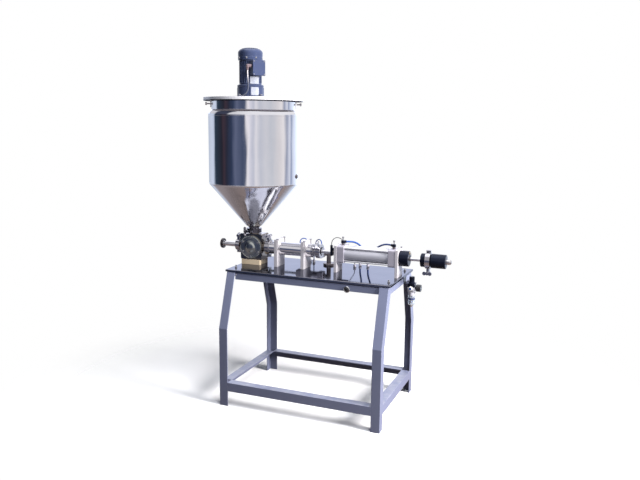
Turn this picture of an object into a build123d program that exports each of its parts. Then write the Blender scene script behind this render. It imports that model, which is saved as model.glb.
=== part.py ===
import os
from math import atan2, cos, hypot, pi, radians, sin, sqrt, tan

from build123d import *

os.makedirs("parts", exist_ok=True)

# Filling machine for thick pastes: a stirred, jacketed hopper over a turning valve, a product
# cylinder and an air cylinder in one line on a bent angle-iron frame. Millimetres, +Z up,
# +X towards the stroke adjuster, -Y towards the operator, floor at Z = 0.

# Frame of angle iron
frame_length = 940
frame_top_width = 446
frame_foot_width = 646
frame_height = 760
bend_height = 447
angle_leg = 50
angle_wall = 5
lower_rail_top = 138

# Table sheet and its corner studs
table_end_overhang = 10
table_side_overhang = 5
table_sheet = 3
table_lip = 8
table_lip_wall = 2.5
stud_r = 4
stud_inset_x = 20
stud_inset_y = 12
stud_rise = 15
nut_across = 13
nut_height = 6.5

# General clearances
running_fit = 0.06
seat_gap = 0.1
free_gap = 0.4

# Line of the cylinders and the valve on its block
axis_height = 103
valve_inset = 65
base_width = 120
base_depth = 104
base_height = 28
valve_width = 134
valve_depth = 92
valve_y = 5
valve_edge = 8
core_r = 47
core_end_gap = 0.3
port_r = 17.5
cover_r = 66.5
cover_thickness = 10
cover_boss_r = 26
cover_boss_height = 8
cover_screw_r = 3
cover_screw_circle_r = 57
cover_screw_head_r = 5.5
cover_screw_head = 5
cover_screw_depth = 14
cover_screw_count = 6
cover_screw_start = 30
stem_r = 10
trunnion_length = 14

# Pipe joints with hinged clamps
ferrule_thickness = 5
hopper_neck_r = 28
hopper_ferrule_r = 36
hopper_joint_rise = 18
cylinder_neck_r = 28
cylinder_ferrule_r = 36
cylinder_joint_reach = 30
spout_neck_r = 14.5
spout_ferrule_r = 25.25
spout_joint_reach = 31
outlet_r = 12
rear_neck_r = 24
rear_ferrule_r = 32
clamp_wall = 8
clamp_lip = 7.5
clamp_split = 4
clamp_bolt_r = 4
clamp_bolt_head_r = 8
clamp_bolt_head = 8
clamp_bolt_rise = 22
clamp_lug = 12
clamp_lug_width = 14
clamp_lug_top = 8
knuckle_r = 6
knuckle_drop = 8
knuckle_pin_r = 3
wing_reach = 15
wing_r = 10
wing_thickness = 7
wing_hub_r = 9
wing_hub_length = 16
rear_clamp_tilt = 45

# Discharge spout
spout_length = 115
spout_flange_r = 29.5
spout_flange = 14
spout_edge = 2

# Valve crank and its air cylinder behind the product cylinder
crank_radius = 40
crank_thickness = 12
crank_hub_r = 20
crank_eye_r = 11
crank_pin_r = 5
crank_pin_end = 2
crank_y = 106
valve_swing = 90
yoke_gain = 0.92
yoke_lash = 1.4
yoke_width = 34
yoke_height = 40
yoke_thickness = 16
actuator_y = 130
actuator_drop = 34
actuator_from_valve = 220
actuator_cap = 52
actuator_cap_length = 30
actuator_barrel_length = 107
actuator_barrel_r = 24
actuator_bore_r = 20
actuator_rod_r = 8
actuator_piston_length = 13
post_base_r = 32
post_base_height = 12
post_r = 13
post_gap = 18
post_rise = 16

# Product cylinder
barrel_r = 38
barrel_bore_r = 33
barrel_length = 273
barrel_head = 21
saddle_thickness = 20
saddle_width = 104
saddle_top = 54
saddle_split = 1
saddle_bolt_r = 4
saddle_bolt_y = 45
saddle_bolt_length = 60
saddle_bolt_head_r = 6.5
saddle_bolt_head = 6
saddle_offsets = (65, 230)
head_disc = 12
head_spigot = 14
head_neck = 25
head_bore_gap = 2
head_screw_count = 4
head_screw_start = 45
head_screw_r = 1.6
head_screw_head_r = 3
head_screw_head = 3
head_screw_depth = 9
gland_nose_r = 18
gland_nose = 12
product_rod_r = 10
product_piston_length = 30
piston_gap = 0.3
piston_end_gap = 5
coupling_r = 17
coupling_length = 30
coupling_gap = 4
coupling_stud_r = 8

# Drive cylinder
drive_offset = 100
drive_support = 16
drive_support_width = 98
drive_support_top = 48
drive_rod_hole_r = 20
drive_cap_size = 95
drive_cap_length = 40
drive_barrel_length = 252
drive_barrel_r = 44
drive_bore_r = 40
drive_rod_r = 12.5
drive_piston_length = 32
drive_piston_back = 6
tie_rod_r = 5
tie_rod_spread = 36
tie_rod_inset = 8

# Stroke adjuster on the rear rod
rear_rod_r = 10
bumper_r = 42
bumper_length = 52
stop_gap = 64
collar_r = 36.5
collar_length = 26
collar_neck = 8
adjuster_neck_r = 28
adjuster_ferrule_r = 36
sleeve_neck = 11
sleeve_r = 38
sleeve_length = 79
sleeve_end_wall = 12
adjuster_travel = 12
end_nut_r = 14.5
end_nut_length = 28
end_nut_round = 11.6

# Hopper, jacket and lid
vessel_r = 236
vessel_wall = 2.5
jacket_gap = 18.5
jacket_wall = 2
jacket_floor = 15
seam_rise = 10
outlet_rise = 30
jacket_foot_gap = 6
cone_height = 259
outlet_neck_length = 8
side_height = 478
shoulder_drop = 64
shoulder_height = 30
lid_overhang = 25.5
lid_sheet = 3
lid_skirt = 20
lid_skirt_wall = 2
lug_width = 24
lug_thickness = 4
lug_length = 52
lug_gap = 2
lug_angle = 27
lid_screw_r = 4
lid_screw_drop = 32
lid_screw_length = 34
lid_screw_head_r = 8
lid_screw_head = 9

# Stirrer
shaft_r = 12.5
anchor_side_gap = 15.5
anchor_gap = 13
anchor_tip_r = 30
anchor_bar = 30
anchor_thickness = 6
anchor_top_drop = 150
anchor_hub_r = 20

# Gear motor
gear_offset = 19
gear_r = 74.5
gear_height = 71
gear_wall = 8
gear_edge = 5
gear_ear_r = 13
gear_ear_height = 12
gear_ear_circle_r = 84
gear_bolt_r = 5
gear_bolt_head_r = 7.5
gear_bolt_head = 6
gear_bolt_count = 4
motor_r = 60
motor_height = 137
motor_wall = 6
fin_height = 3
fin_width = 3
fin_count = 30
fan_cover_r = 69
fan_cover_height = 64
fan_cover_wall = 2
fan_cover_edge = 26
rotor_r = 34
rotor_length = 90
rotor_shaft_r = 8
fan_r = 56
fan_thickness = 22
fan_gap = 14
fan_blade_count = 7
fan_blade = 2
terminal_width = 78
terminal_height = 84
terminal_depth = 38
terminal_wall = 3
terminal_edge = 5
terminal_angle = 56
terminal_drop = 6
terminal_cover = 5
gland_r = 10
gland_nut = 6
gland_reach = 24
gland_fall = 10
gland_taper = 14
gland_body_r = 9
gland_tip_r = 5.6
gland_drop = 32

# Air fittings
flow_base_r = 9
flow_base = 10
flow_body_r = 11
flow_body = 15
flow_outlet_r = 8
flow_outlet = 20
flow_outlet_turn = 30
flow_screw_r = 5
flow_screw = 22
connector_r = 7
connector_height = 20
bulkhead_r = 10
bulkhead_height = 16
bulkhead_places = {
    "front": (78, 180.5),
    "rear": (127, 175.5),
    "left": (50, 168),
    "right": (-63, 168),
    "sensor": (61, 134),
}
tube_straight = 24
drive_tube_d = 10
actuator_tube_d = 6
sensor_width = 11
sensor_height = 60
sensor_top = 48
sensor_y = 40
sensor_standoff = 11
sensor_lead_d = 4

# Filter regulator on the right-hand rail
regulator_reach = 42
regulator_y = 85
regulator_top = 48
regulator_size = 40
regulator_body_height = 44
bracket_sheet = 3
bracket_width = 50
bracket_height = 46
bonnet_r = 18
bonnet_neck_r = 11
bonnet_height = 20
bonnet_stem_r = 5
bonnet_stem = 10
knob_r = 15
knob_height = 17
bowl_r = 18.5
bowl_wall = 2
bowl_height = 78
bowl_round = 7
drain_r = 6
drain_height = 10
gauge_r = 20
gauge_depth = 26
gauge_face_depth = 8
gauge_rim = 2
gauge_stem_r = 6
gauge_stem = 6
needle_length = 14
needle_width = 1.6
needle_thickness = 0.8
needle_hub_r = 2.5
needle_pin_r = 1
needle_gap = 3
needle_rest = 45
inlet_r = 6.5
inlet_depth = 12
inlet_collar_r = 10
inlet_collar = 16

# Push button on the front rail
button_offset = 242
button_drop = 40
bezel_r = 18
bezel_thickness = 6
bezel_barrel_r = 13.5
bezel_barrel = 22
button_r = 12
button_length = 16
button_rise = 5
button_travel = 4

# Motor lead: laid over the lid and coiled behind the motor
lead_d = 7
lead_straight = 20
coil_offset = -70
coil_y = 178
coil_outer_r = 46
coil_pitch = 8
coil_layer = 8
coil_turns = 2
coil_end_run = 22
plug_r = 11
plug_length = 52
plug_boot_r = 5
plug_boot_length = 24
plug_pin_r = 2.4
plug_pin_length = 19
plug_pin_spread = 6

# Heights and stations that follow
tilt = atan2((frame_foot_width - frame_top_width) / 2, frame_height - bend_height)
table_length = frame_length + 2 * table_end_overhang
table_width = frame_top_width + 2 * table_side_overhang
table_z = frame_height + table_sheet
axis_z = table_z + axis_height
drive_length = 2 * drive_support + 2 * drive_cap_length + drive_barrel_length
adjuster_length = collar_length + collar_neck + 2 * ferrule_thickness + sleeve_neck + sleeve_length
jacket_r = vessel_r + jacket_gap
lid_radius = jacket_r + lid_overhang
left_reach = table_length / 2 - valve_inset + lid_radius
right_reach = drive_offset + drive_length + bumper_length + stop_gap + adjuster_length + end_nut_length
table_x = (left_reach - right_reach) / 2
valve_x = table_x - table_length / 2 + valve_inset
valve_height = 2 * (axis_height - base_height)
valve_top = axis_z + valve_height / 2
valve_front = valve_y - valve_depth / 2
valve_back = valve_y + valve_depth / 2

hopper_joint_z = valve_top + hopper_joint_rise
cone_foot = hopper_joint_z + ferrule_thickness + outlet_neck_length
cone_top = cone_foot + cone_height
rim_top = cone_top + side_height
lid_top = rim_top + lid_sheet
anchor_r = vessel_r - vessel_wall - anchor_side_gap
cone_slope = (vessel_r - hopper_neck_r) / cone_height
cone_wall = vessel_wall * hypot(1, cone_slope)

cylinder_joint_x = valve_x + valve_width / 2 + cylinder_joint_reach
barrel_end_x = cylinder_joint_x + barrel_length
rear_joint_x = barrel_end_x + head_disc + head_neck + ferrule_thickness
gland_end_x = rear_joint_x + ferrule_thickness + gland_nose
spout_joint_x = valve_x - valve_width / 2 - spout_joint_reach
spout_end_x = spout_joint_x - spout_length

drive_x = table_x + drive_offset
front_cap_x = drive_x + drive_support
drive_barrel_x = front_cap_x + drive_cap_length
rear_cap_x = drive_barrel_x + drive_barrel_length
rear_support_x = rear_cap_x + drive_cap_length
bumper_x = rear_support_x + drive_support
collar_x = bumper_x + bumper_length + stop_gap
adjuster_joint_x = collar_x + collar_length + collar_neck + ferrule_thickness
sleeve_x = adjuster_joint_x + ferrule_thickness + sleeve_neck
end_nut_x = sleeve_x + sleeve_length
coupling_x = drive_x - coupling_gap - coupling_length
rod_meet_x = coupling_x + coupling_length / 2
product_piston_x = barrel_end_x - head_spigot - piston_end_gap - product_piston_length
drive_piston_x = rear_cap_x - drive_piston_back - drive_piston_length

actuator_x = valve_x + actuator_from_valve
actuator_z = axis_z - actuator_drop
actuator_barrel_x = actuator_x + actuator_cap_length
actuator_rear_x = actuator_barrel_x + actuator_barrel_length
actuator_end_x = actuator_rear_x + actuator_cap_length
actuator_top = actuator_z + actuator_cap / 2
post_x = actuator_end_x + post_gap + post_r
yoke_rate = yoke_gain * crank_radius
yoke_x = valve_x + yoke_rate * radians(valve_swing / 2)
cap_top = axis_z + drive_cap_size / 2

motor_x = valve_x - gear_offset
gear_top = lid_top + gear_height
motor_top = gear_top + motor_height
machine_top = motor_top + fan_cover_height
rail_face_x = table_x + frame_length / 2
regulator_x = rail_face_x + regulator_reach
regulator_body_top = frame_height - regulator_top


def save(piece, name):
    piece.part.label = name
    export_step(piece.part, f"parts/{name}.step")


def turned_x(profile, y=0, z=axis_z):
    # Solid of revolution about a line along X through (y, z), from (x, radius) corners.
    with BuildPart() as piece:
        with BuildSketch(Plane((0, y, z), x_dir=(1, 0, 0), z_dir=(0, -1, 0))):
            with BuildLine():
                Polyline(*profile, close=True)
            make_face()
        revolve(axis=Axis((0, y, z), (1, 0, 0)))
    return piece.part


def turned_z(profile, x=valve_x, y=0):
    # Solid of revolution about an upright line through (x, y), from (radius, z) corners.
    with BuildPart() as piece:
        with BuildSketch(Plane((x, y, 0), x_dir=(1, 0, 0), z_dir=(0, -1, 0))):
            with BuildLine():
                Polyline(*profile, close=True)
            make_face()
        revolve(axis=Axis((x, y, 0), (0, 0, 1)))
    return piece.part


def upright(x, y, z, radius, height):
    # Plain upright cylinder standing on z.
    with BuildPart() as piece:
        with Locations((x, y, z)):
            Cylinder(radius, height, align=(Align.CENTER, Align.CENTER, Align.MIN))
    return piece.part


def block(x, y, z):
    # Box between two limits on each axis.
    with BuildPart() as piece:
        with Locations(((x[0] + x[1]) / 2, (y[0] + y[1]) / 2, (z[0] + z[1]) / 2)):
            Box(x[1] - x[0], y[1] - y[0], z[1] - z[0])
    return piece.part


def ferrule_clamp(joint, neck_r, ferrule_r):
    # Two half rings round a pair of ferrules, hinged on a pin and drawn together by a bolt.
    # The joint's local Z runs along the pipe and its local Y points at the bolt.
    outer_r = ferrule_r + clamp_wall
    width = 2 * (ferrule_thickness + clamp_lip)
    bolt_y = outer_r + clamp_bolt_rise
    hinge_y = -outer_r - knuckle_drop
    lug_span = 2 * clamp_lug + clamp_split
    lug_height = clamp_bolt_rise + clamp_lug_top + clamp_wall / 2
    web_x = clamp_split / 2 + (knuckle_r - clamp_split / 2) / 2
    web_height = knuckle_drop + clamp_wall / 2
    with BuildPart(joint) as clamp:
        Cylinder(outer_r, width)
        with Locations((0, outer_r - clamp_wall / 2 + lug_height / 2, 0)):
            Box(lug_span, lug_height, clamp_lug_width)
        Cylinder(neck_r + free_gap, width, mode=Mode.SUBTRACT)
        groove = 2 * ferrule_thickness + free_gap
        Cylinder(ferrule_r + free_gap, groove, mode=Mode.SUBTRACT)
        Box(clamp_split, 4 * outer_r, width, mode=Mode.SUBTRACT)
        with Locations((0, bolt_y, 0)):
            Cylinder(clamp_bolt_r + free_gap, 2 * lug_span, rotation=(0, 90, 0), mode=Mode.SUBTRACT)
        for side in (-1, 1):
            knuckle_z = side * width / 4
            knuckle_length = width / 2 - free_gap
            with Locations((0, hinge_y, knuckle_z)):
                Cylinder(knuckle_r, knuckle_length)
            with Locations((side * web_x, hinge_y + web_height / 2, knuckle_z)):
                Box(knuckle_r - clamp_split / 2, web_height, knuckle_length)
        with Locations((0, hinge_y, 0)):
            Cylinder(knuckle_pin_r + running_fit, 2 * width, mode=Mode.SUBTRACT)
            Cylinder(knuckle_pin_r, width)
        head_x = -lug_span / 2 - seat_gap
        bolt_length = lug_span + seat_gap + wing_hub_length + clamp_bolt_r
        with Locations((head_x + bolt_length / 2, bolt_y, 0)):
            Cylinder(clamp_bolt_r, bolt_length, rotation=(0, 90, 0))
        with Locations((head_x - clamp_bolt_head / 2, bolt_y, 0)):
            Cylinder(clamp_bolt_head_r, clamp_bolt_head, rotation=(0, 90, 0))
    return clamp.part


def wing_nut(joint, ferrule_r):
    # Two-lobed hand nut on the bolt of a clamp, wings along the pipe.
    seat_x = clamp_lug + clamp_split / 2
    bolt_y = ferrule_r + clamp_wall + clamp_bolt_rise
    hub_x = seat_x + wing_hub_length / 2
    wing_x = seat_x + wing_hub_length - wing_thickness / 2
    with BuildPart(joint) as nut:
        with Locations((hub_x, bolt_y, 0)):
            Cylinder(wing_hub_r, wing_hub_length, rotation=(0, 90, 0))
        for side in (-1, 1):
            with Locations((wing_x, bolt_y, side * wing_reach)):
                Cylinder(wing_r, wing_thickness, rotation=(0, 90, 0))
        with Locations((wing_x, bolt_y, 0)):
            Box(wing_thickness, wing_r, 2 * wing_reach)
        with Locations((hub_x, bolt_y, 0)):
            bore = clamp_bolt_r + running_fit
            Cylinder(bore, wing_hub_length, rotation=(0, 90, 0), mode=Mode.SUBTRACT)
    return nut.part


def corner_radii(points):
    # Largest bend at each inner point: 0.45 of the shorter run over the tangent of half the turn.
    radii = []
    for before, here, after in zip(points, points[1:], points[2:]):
        run_in = Vector(here) - Vector(before)
        run_out = Vector(after) - Vector(here)
        half_turn = radians(run_in.get_angle(run_out)) / 2
        radii.append(0.45 * min(run_in.length, run_out.length) / tan(half_turn))
    return radii


def tube(name, points, diameter):
    # Flexible tube on straight runs and tangent arcs through hand-chosen points.
    radii = corner_radii(points)
    with BuildPart() as piece:
        with BuildLine() as route:
            FilletPolyline(*points, radius=radii)
        with BuildSketch(Plane(origin=route.line @ 0, z_dir=route.line % 0)):
            Circle(diameter / 2)
        sweep()
    length = route.wire().length
    expected = length * pi * diameter**2 / 4
    print(name, "radii", [round(r, 1) for r in radii])
    print(name, "length", round(length, 1), "volume ratio", round(piece.part.volume / expected, 4))
    return piece.part


def biarc_middle(start, start_dir, end, end_dir):
    # Where two tangent arcs from one directed point to another meet, and their direction there.
    chord = end - start
    both = start_dir + end_dir
    bend = 2 * (1 - start_dir.dot(end_dir))
    reach = chord.dot(both)
    if bend < 1e-9:
        step = chord.dot(chord) / (2 * reach)
    else:
        step = (sqrt(reach**2 + bend * chord.dot(chord)) - reach) / bend
    middle = (start + end + (start_dir - end_dir) * step) * 0.5
    middle_dir = (end - end_dir * step) - (start + start_dir * step)
    return middle, middle_dir


# Frame: four bent legs, each an angle iron mitred at its knee
foot_y = -frame_foot_width / 2
top_y = -frame_top_width / 2


def bent_strip(width):
    # Side view of one leg flange, from its outer edge inwards.
    return [
        (foot_y, 0),
        (foot_y, bend_height),
        (top_y, frame_height),
        (top_y + width / cos(tilt), frame_height),
        (foot_y + width, bend_height - width * tan(tilt / 2)),
        (foot_y + width, 0),
    ]


with BuildPart() as frame_legs:
    left_face = Plane.YZ.offset(table_x - frame_length / 2)
    for width, run in ((angle_wall, angle_leg), (angle_leg, angle_wall)):
        with BuildSketch(left_face):
            with BuildLine():
                Polyline(*bent_strip(width), close=True)
            make_face()
        extrude(amount=run)
    mirror(about=Plane.XZ)
    mirror(about=Plane.YZ.offset(table_x))
save(frame_legs, "frame_legs")

rail_half = frame_length / 2 - angle_leg
side_top_half = frame_top_width / 2 - angle_leg / cos(tilt)
side_low_half = side_top_half + angle_leg * tan(tilt)
stud_x = frame_length / 2 - stud_inset_x
stud_y = side_top_half - stud_inset_y
stud_places = [(table_x + sx * stud_x, sy * stud_y) for sx in (-1, 1) for sy in (-1, 1)]


def angle_section(outer_y, top):
    # End view of a long rail: upright flange outside, flat flange on top pointing inwards.
    return [
        (outer_y, top - angle_leg),
        (outer_y, top),
        (outer_y + angle_leg, top),
        (outer_y + angle_leg, top - angle_wall),
        (outer_y + angle_wall, top - angle_wall),
        (outer_y + angle_wall, top - angle_leg),
    ]


button_x = table_x + button_offset
button_z = frame_height - button_drop

with BuildPart() as upper_rails:
    with BuildSketch(Plane.YZ.offset(table_x)):
        with BuildLine():
            Polyline(*angle_section(top_y, frame_height), close=True)
        make_face()
    extrude(amount=rail_half, both=True)
    mirror(about=Plane.XZ)
    with BuildSketch(Plane.YZ.offset(table_x - frame_length / 2)):
        with BuildLine():
            Polyline(
                (-side_top_half, frame_height),
                (side_top_half, frame_height),
                (side_low_half, frame_height - angle_leg),
                (-side_low_half, frame_height - angle_leg),
                close=True,
            )
        make_face()
    extrude(amount=angle_wall)
    left_x = table_x - frame_length / 2
    flange_z = (frame_height - angle_wall, frame_height)
    add(block((left_x, left_x + angle_leg), (-side_top_half, side_top_half), flange_z))
    mirror(about=Plane.YZ.offset(table_x))
    with Locations(*[(x, y, frame_height) for x, y in stud_places]):
        Cylinder(stud_r + seat_gap, 4 * angle_wall, mode=Mode.SUBTRACT)
    with Locations(Location((button_x, top_y, button_z), (90, 0, 0))):
        Cylinder(bezel_barrel_r + seat_gap, 4 * angle_wall, mode=Mode.SUBTRACT)
save(upper_rails, "upper_rails")

with BuildPart() as lower_rails:
    with BuildSketch(Plane.YZ.offset(table_x)):
        with BuildLine():
            Polyline(*angle_section(foot_y, lower_rail_top), close=True)
        make_face()
    extrude(amount=rail_half, both=True)
    mirror(about=Plane.XZ)
    low_half = frame_foot_width / 2 - angle_leg
    wall_x = (left_x, left_x + angle_wall)
    add(block(wall_x, (-low_half, low_half), (lower_rail_top - angle_leg, lower_rail_top)))
    shelf_z = (lower_rail_top - angle_wall, lower_rail_top)
    add(block((left_x, left_x + angle_leg), (-low_half, low_half), shelf_z))
    mirror(about=Plane.YZ.offset(table_x))
save(lower_rails, "lower_rails")

with BuildPart() as table_top:
    with Locations((table_x, 0, table_z - table_lip / 2)):
        Box(table_length, table_width, table_lip)
    with Locations((table_x, 0, frame_height - table_lip / 2)):
        inner_length = table_length - 2 * table_lip_wall
        inner_width = table_width - 2 * table_lip_wall
        Box(inner_length, inner_width, table_lip, mode=Mode.SUBTRACT)
    with Locations(*[(x, y, frame_height) for x, y in stud_places]):
        Cylinder(stud_r + seat_gap, 4 * table_sheet, mode=Mode.SUBTRACT)
save(table_top, "table_top")

# Push button in the front rail
bezel_plane = Plane((button_x, top_y, button_z), x_dir=(1, 0, 0), z_dir=(0, -1, 0))
with BuildPart(bezel_plane) as button_bezel:
    Cylinder(bezel_r, bezel_thickness, align=(Align.CENTER, Align.CENTER, Align.MIN))
    Cylinder(bezel_barrel_r, bezel_barrel, align=(Align.CENTER, Align.CENTER, Align.MAX))
    bore = button_r + piston_gap
    depth = button_length - button_rise + button_travel + free_gap
    with Locations((0, 0, bezel_thickness)):
        Cylinder(bore, depth, align=(Align.CENTER, Align.CENTER, Align.MAX), mode=Mode.SUBTRACT)
    rim = button_bezel.edges().filter_by(GeomType.CIRCLE).group_by(Axis.Y)[0].sort_by(SortBy.RADIUS)[-1]
    fillet(rim, bezel_thickness / 3)
save(button_bezel, "button_bezel")

with BuildPart(bezel_plane) as start_button:
    with Locations((0, 0, bezel_thickness + button_rise)):
        Cylinder(button_r, button_length, align=(Align.CENTER, Align.CENTER, Align.MAX))
    fillet(start_button.edges().filter_by(GeomType.CIRCLE).group_by(Axis.Y)[0], button_rise / 4)
save(start_button, "start_button")

# Valve on its block
with BuildPart() as valve_base:
    base_x = (valve_x - base_width / 2, valve_x + base_width / 2)
    base_y = (valve_y - base_depth / 2, valve_y + base_depth / 2)
    add(block(base_x, base_y, (table_z, table_z + base_height)))
    chamfer(valve_base.edges().filter_by(Axis.Z), valve_edge / 4)
save(valve_base, "valve_base")

valve_face = Plane((valve_x, valve_front, axis_z), x_dir=(1, 0, 0), z_dir=(0, -1, 0))
valve_rear_face = Plane((valve_x, valve_back, axis_z), x_dir=(1, 0, 0), z_dir=(0, 1, 0))

with BuildPart() as valve_body:
    with Locations((valve_x, valve_y, axis_z)):
        Box(valve_width, valve_depth, valve_height)
    fillet(valve_body.edges().filter_by(Axis.Y), valve_edge)
    add(
        turned_x(
            [
                (valve_x, 0),
                (valve_x, cylinder_neck_r),
                (cylinder_joint_x - ferrule_thickness, cylinder_neck_r),
                (cylinder_joint_x - ferrule_thickness, cylinder_ferrule_r),
                (cylinder_joint_x, cylinder_ferrule_r),
                (cylinder_joint_x, 0),
            ]
        )
    )
    add(
        turned_x(
            [
                (valve_x, 0),
                (valve_x, spout_neck_r),
                (spout_joint_x + ferrule_thickness, spout_neck_r),
                (spout_joint_x + ferrule_thickness, spout_ferrule_r),
                (spout_joint_x, spout_ferrule_r),
                (spout_joint_x, 0),
            ]
        )
    )
    add(
        turned_z(
            [
                (0, axis_z),
                (hopper_neck_r, axis_z),
                (hopper_neck_r, hopper_joint_z - ferrule_thickness),
                (hopper_ferrule_r, hopper_joint_z - ferrule_thickness),
                (hopper_ferrule_r, hopper_joint_z),
                (0, hopper_joint_z),
            ]
        )
    )
    with Locations(Location((valve_x, valve_y, axis_z), (90, 0, 0))):
        Cylinder(core_r, 2 * valve_depth, mode=Mode.SUBTRACT)
    add(turned_x([(valve_x, 0), (valve_x, port_r), (cylinder_joint_x, port_r), (cylinder_joint_x, 0)]),
        mode=Mode.SUBTRACT)
    add(turned_x([(valve_x, 0), (valve_x, outlet_r), (spout_joint_x, outlet_r), (spout_joint_x, 0)]),
        mode=Mode.SUBTRACT)
    add(turned_z([(0, axis_z), (port_r, axis_z), (port_r, hopper_joint_z), (0, hopper_joint_z)]),
        mode=Mode.SUBTRACT)
    for face in (valve_face, valve_rear_face):
        with Locations(face):
            with PolarLocations(cover_screw_circle_r, cover_screw_count, start_angle=cover_screw_start):
                Hole(cover_screw_r + seat_gap, depth=cover_screw_depth)
save(valve_body, "valve_body")

with BuildPart() as valve_covers:
    for face, stem_depth in ((valve_face, trunnion_length), (valve_rear_face, 2 * valve_depth)):
        with Locations(face):
            Cylinder(cover_r, cover_thickness, align=(Align.CENTER, Align.CENTER, Align.MIN))
            with Locations((0, 0, cover_thickness)):
                boss_align = (Align.CENTER, Align.CENTER, Align.MIN)
                Cylinder(cover_boss_r, cover_boss_height, align=boss_align)
            stem_bore = stem_r + running_fit
            stem_align = (Align.CENTER, Align.CENTER, Align.MIN)
            bore_depth = stem_depth + free_gap
            Cylinder(stem_bore, bore_depth, align=stem_align, mode=Mode.SUBTRACT)
            with PolarLocations(cover_screw_circle_r, cover_screw_count, start_angle=cover_screw_start):
                hole_align = (Align.CENTER, Align.CENTER, Align.MIN)
                hole_r = cover_screw_r + seat_gap
                Cylinder(hole_r, cover_thickness, align=hole_align, mode=Mode.SUBTRACT)
    rims = valve_covers.edges().filter_by(GeomType.CIRCLE).sort_by(SortBy.RADIUS)[-4:].sort_by(Axis.Y)
    fillet([rims[0], rims[-1]], cover_thickness / 4)
save(valve_covers, "valve_covers")

# Turning valve core with a tee port: hopper to cylinder at rest, cylinder to spout after a quarter turn
with BuildPart() as valve_core:
    core_plane = Plane((valve_x, valve_y, axis_z), x_dir=(1, 0, 0), z_dir=(0, 1, 0))
    with Locations(core_plane):
        Cylinder(core_r - running_fit, valve_depth - 2 * core_end_gap)
    stem_end = crank_y + crank_thickness
    stem_start = valve_front - trunnion_length
    with Locations(Location((valve_x, (stem_start + stem_end) / 2, axis_z), (90, 0, 0))):
        Cylinder(stem_r, stem_end - stem_start)
    with Locations((valve_x, valve_y, axis_z)):
        Cylinder(port_r, 4 * core_r, mode=Mode.SUBTRACT)
        with Locations((core_r, 0, 0)):
            Cylinder(port_r, 2 * core_r, rotation=(0, 90, 0), mode=Mode.SUBTRACT)
save(valve_core, "valve_core")

crank_turn = radians(valve_swing / 2)
crank_plane = Plane((valve_x, crank_y, axis_z), x_dir=(sin(crank_turn), 0, -cos(crank_turn)), z_dir=(0, 1, 0))
pin_length = actuator_y + yoke_thickness / 2 - crank_y - crank_thickness + crank_pin_end
with BuildPart() as valve_crank:
    with BuildSketch(crank_plane):
        Circle(crank_hub_r)
        with Locations((crank_radius, 0)):
            Circle(crank_eye_r)
        make_hull()
        Circle(stem_r + seat_gap, mode=Mode.SUBTRACT)
    extrude(amount=crank_thickness)
    with BuildSketch(crank_plane.offset(crank_thickness)):
        with Locations((crank_radius, 0)):
            Circle(crank_pin_r)
    extrude(amount=pin_length)
save(valve_crank, "valve_crank")

# Air cylinder that swings the valve, on its post behind the product cylinder
with BuildPart() as actuator_cylinder:
    bore_line = [(actuator_x, 0), (actuator_x, actuator_rod_r + running_fit)]
    bore_line += [(actuator_barrel_x, actuator_rod_r + running_fit), (actuator_barrel_x, 0)]
    cap_y = (actuator_y - actuator_cap / 2, actuator_y + actuator_cap / 2)
    cap_z = (actuator_z - actuator_cap / 2, actuator_z + actuator_cap / 2)
    add(block((actuator_x, actuator_barrel_x), cap_y, cap_z))
    add(block((actuator_rear_x, actuator_end_x), cap_y, cap_z))
    fillet(actuator_cylinder.edges().filter_by(Axis.X), actuator_cap / 10)
    add(turned_x(bore_line, actuator_y, actuator_z), mode=Mode.SUBTRACT)
    barrel_profile = [(actuator_barrel_x, actuator_bore_r), (actuator_barrel_x, actuator_barrel_r)]
    barrel_profile += [(actuator_rear_x, actuator_barrel_r), (actuator_rear_x, actuator_bore_r)]
    actuator_tube_wall = turned_x(barrel_profile, actuator_y, actuator_z)
actuator_solids = Compound(children=[*actuator_cylinder.part.solids(), *actuator_tube_wall.solids()])
actuator_solids.label = "actuator_cylinder"
export_step(actuator_solids, "parts/actuator_cylinder.step")

with BuildPart() as actuator_rod:
    piston_x = actuator_rear_x - free_gap - actuator_piston_length
    yoke_right = yoke_x + yoke_width / 2
    rod_profile = [
        (yoke_right, 0),
        (yoke_right, actuator_rod_r),
        (piston_x, actuator_rod_r),
        (piston_x, actuator_bore_r - piston_gap),
        (piston_x + actuator_piston_length, actuator_bore_r - piston_gap),
        (piston_x + actuator_piston_length, 0),
    ]
    add(turned_x(rod_profile, actuator_y, actuator_z))
    with Locations((yoke_x, actuator_y, actuator_z)):
        Box(yoke_width, yoke_thickness, yoke_height)
    slot_low = axis_z - crank_radius - crank_pin_r - yoke_lash
    slot_high = axis_z - crank_radius * cos(crank_turn) + crank_pin_r + yoke_lash
    slot_half = crank_pin_r + yoke_lash
    yoke_y = (actuator_y - yoke_thickness, actuator_y + yoke_thickness)
    add(block((yoke_x - slot_half, yoke_x + slot_half), yoke_y, (slot_low, slot_high)), mode=Mode.SUBTRACT)
save(actuator_rod, "actuator_rod")

with BuildPart() as actuator_post:
    add(upright(post_x, actuator_y, table_z, post_base_r, post_base_height))
    fillet(actuator_post.edges().group_by(Axis.Z)[-1], post_base_height / 4)
    add(upright(post_x, actuator_y, table_z, post_r, actuator_z + post_rise - table_z))
    arm_half = actuator_cap / 4
    arm_y = (actuator_y - arm_half, actuator_y + arm_half)
    add(block((actuator_end_x, post_x), arm_y, (actuator_z - arm_half, actuator_z + arm_half)))
save(actuator_post, "actuator_post")

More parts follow.
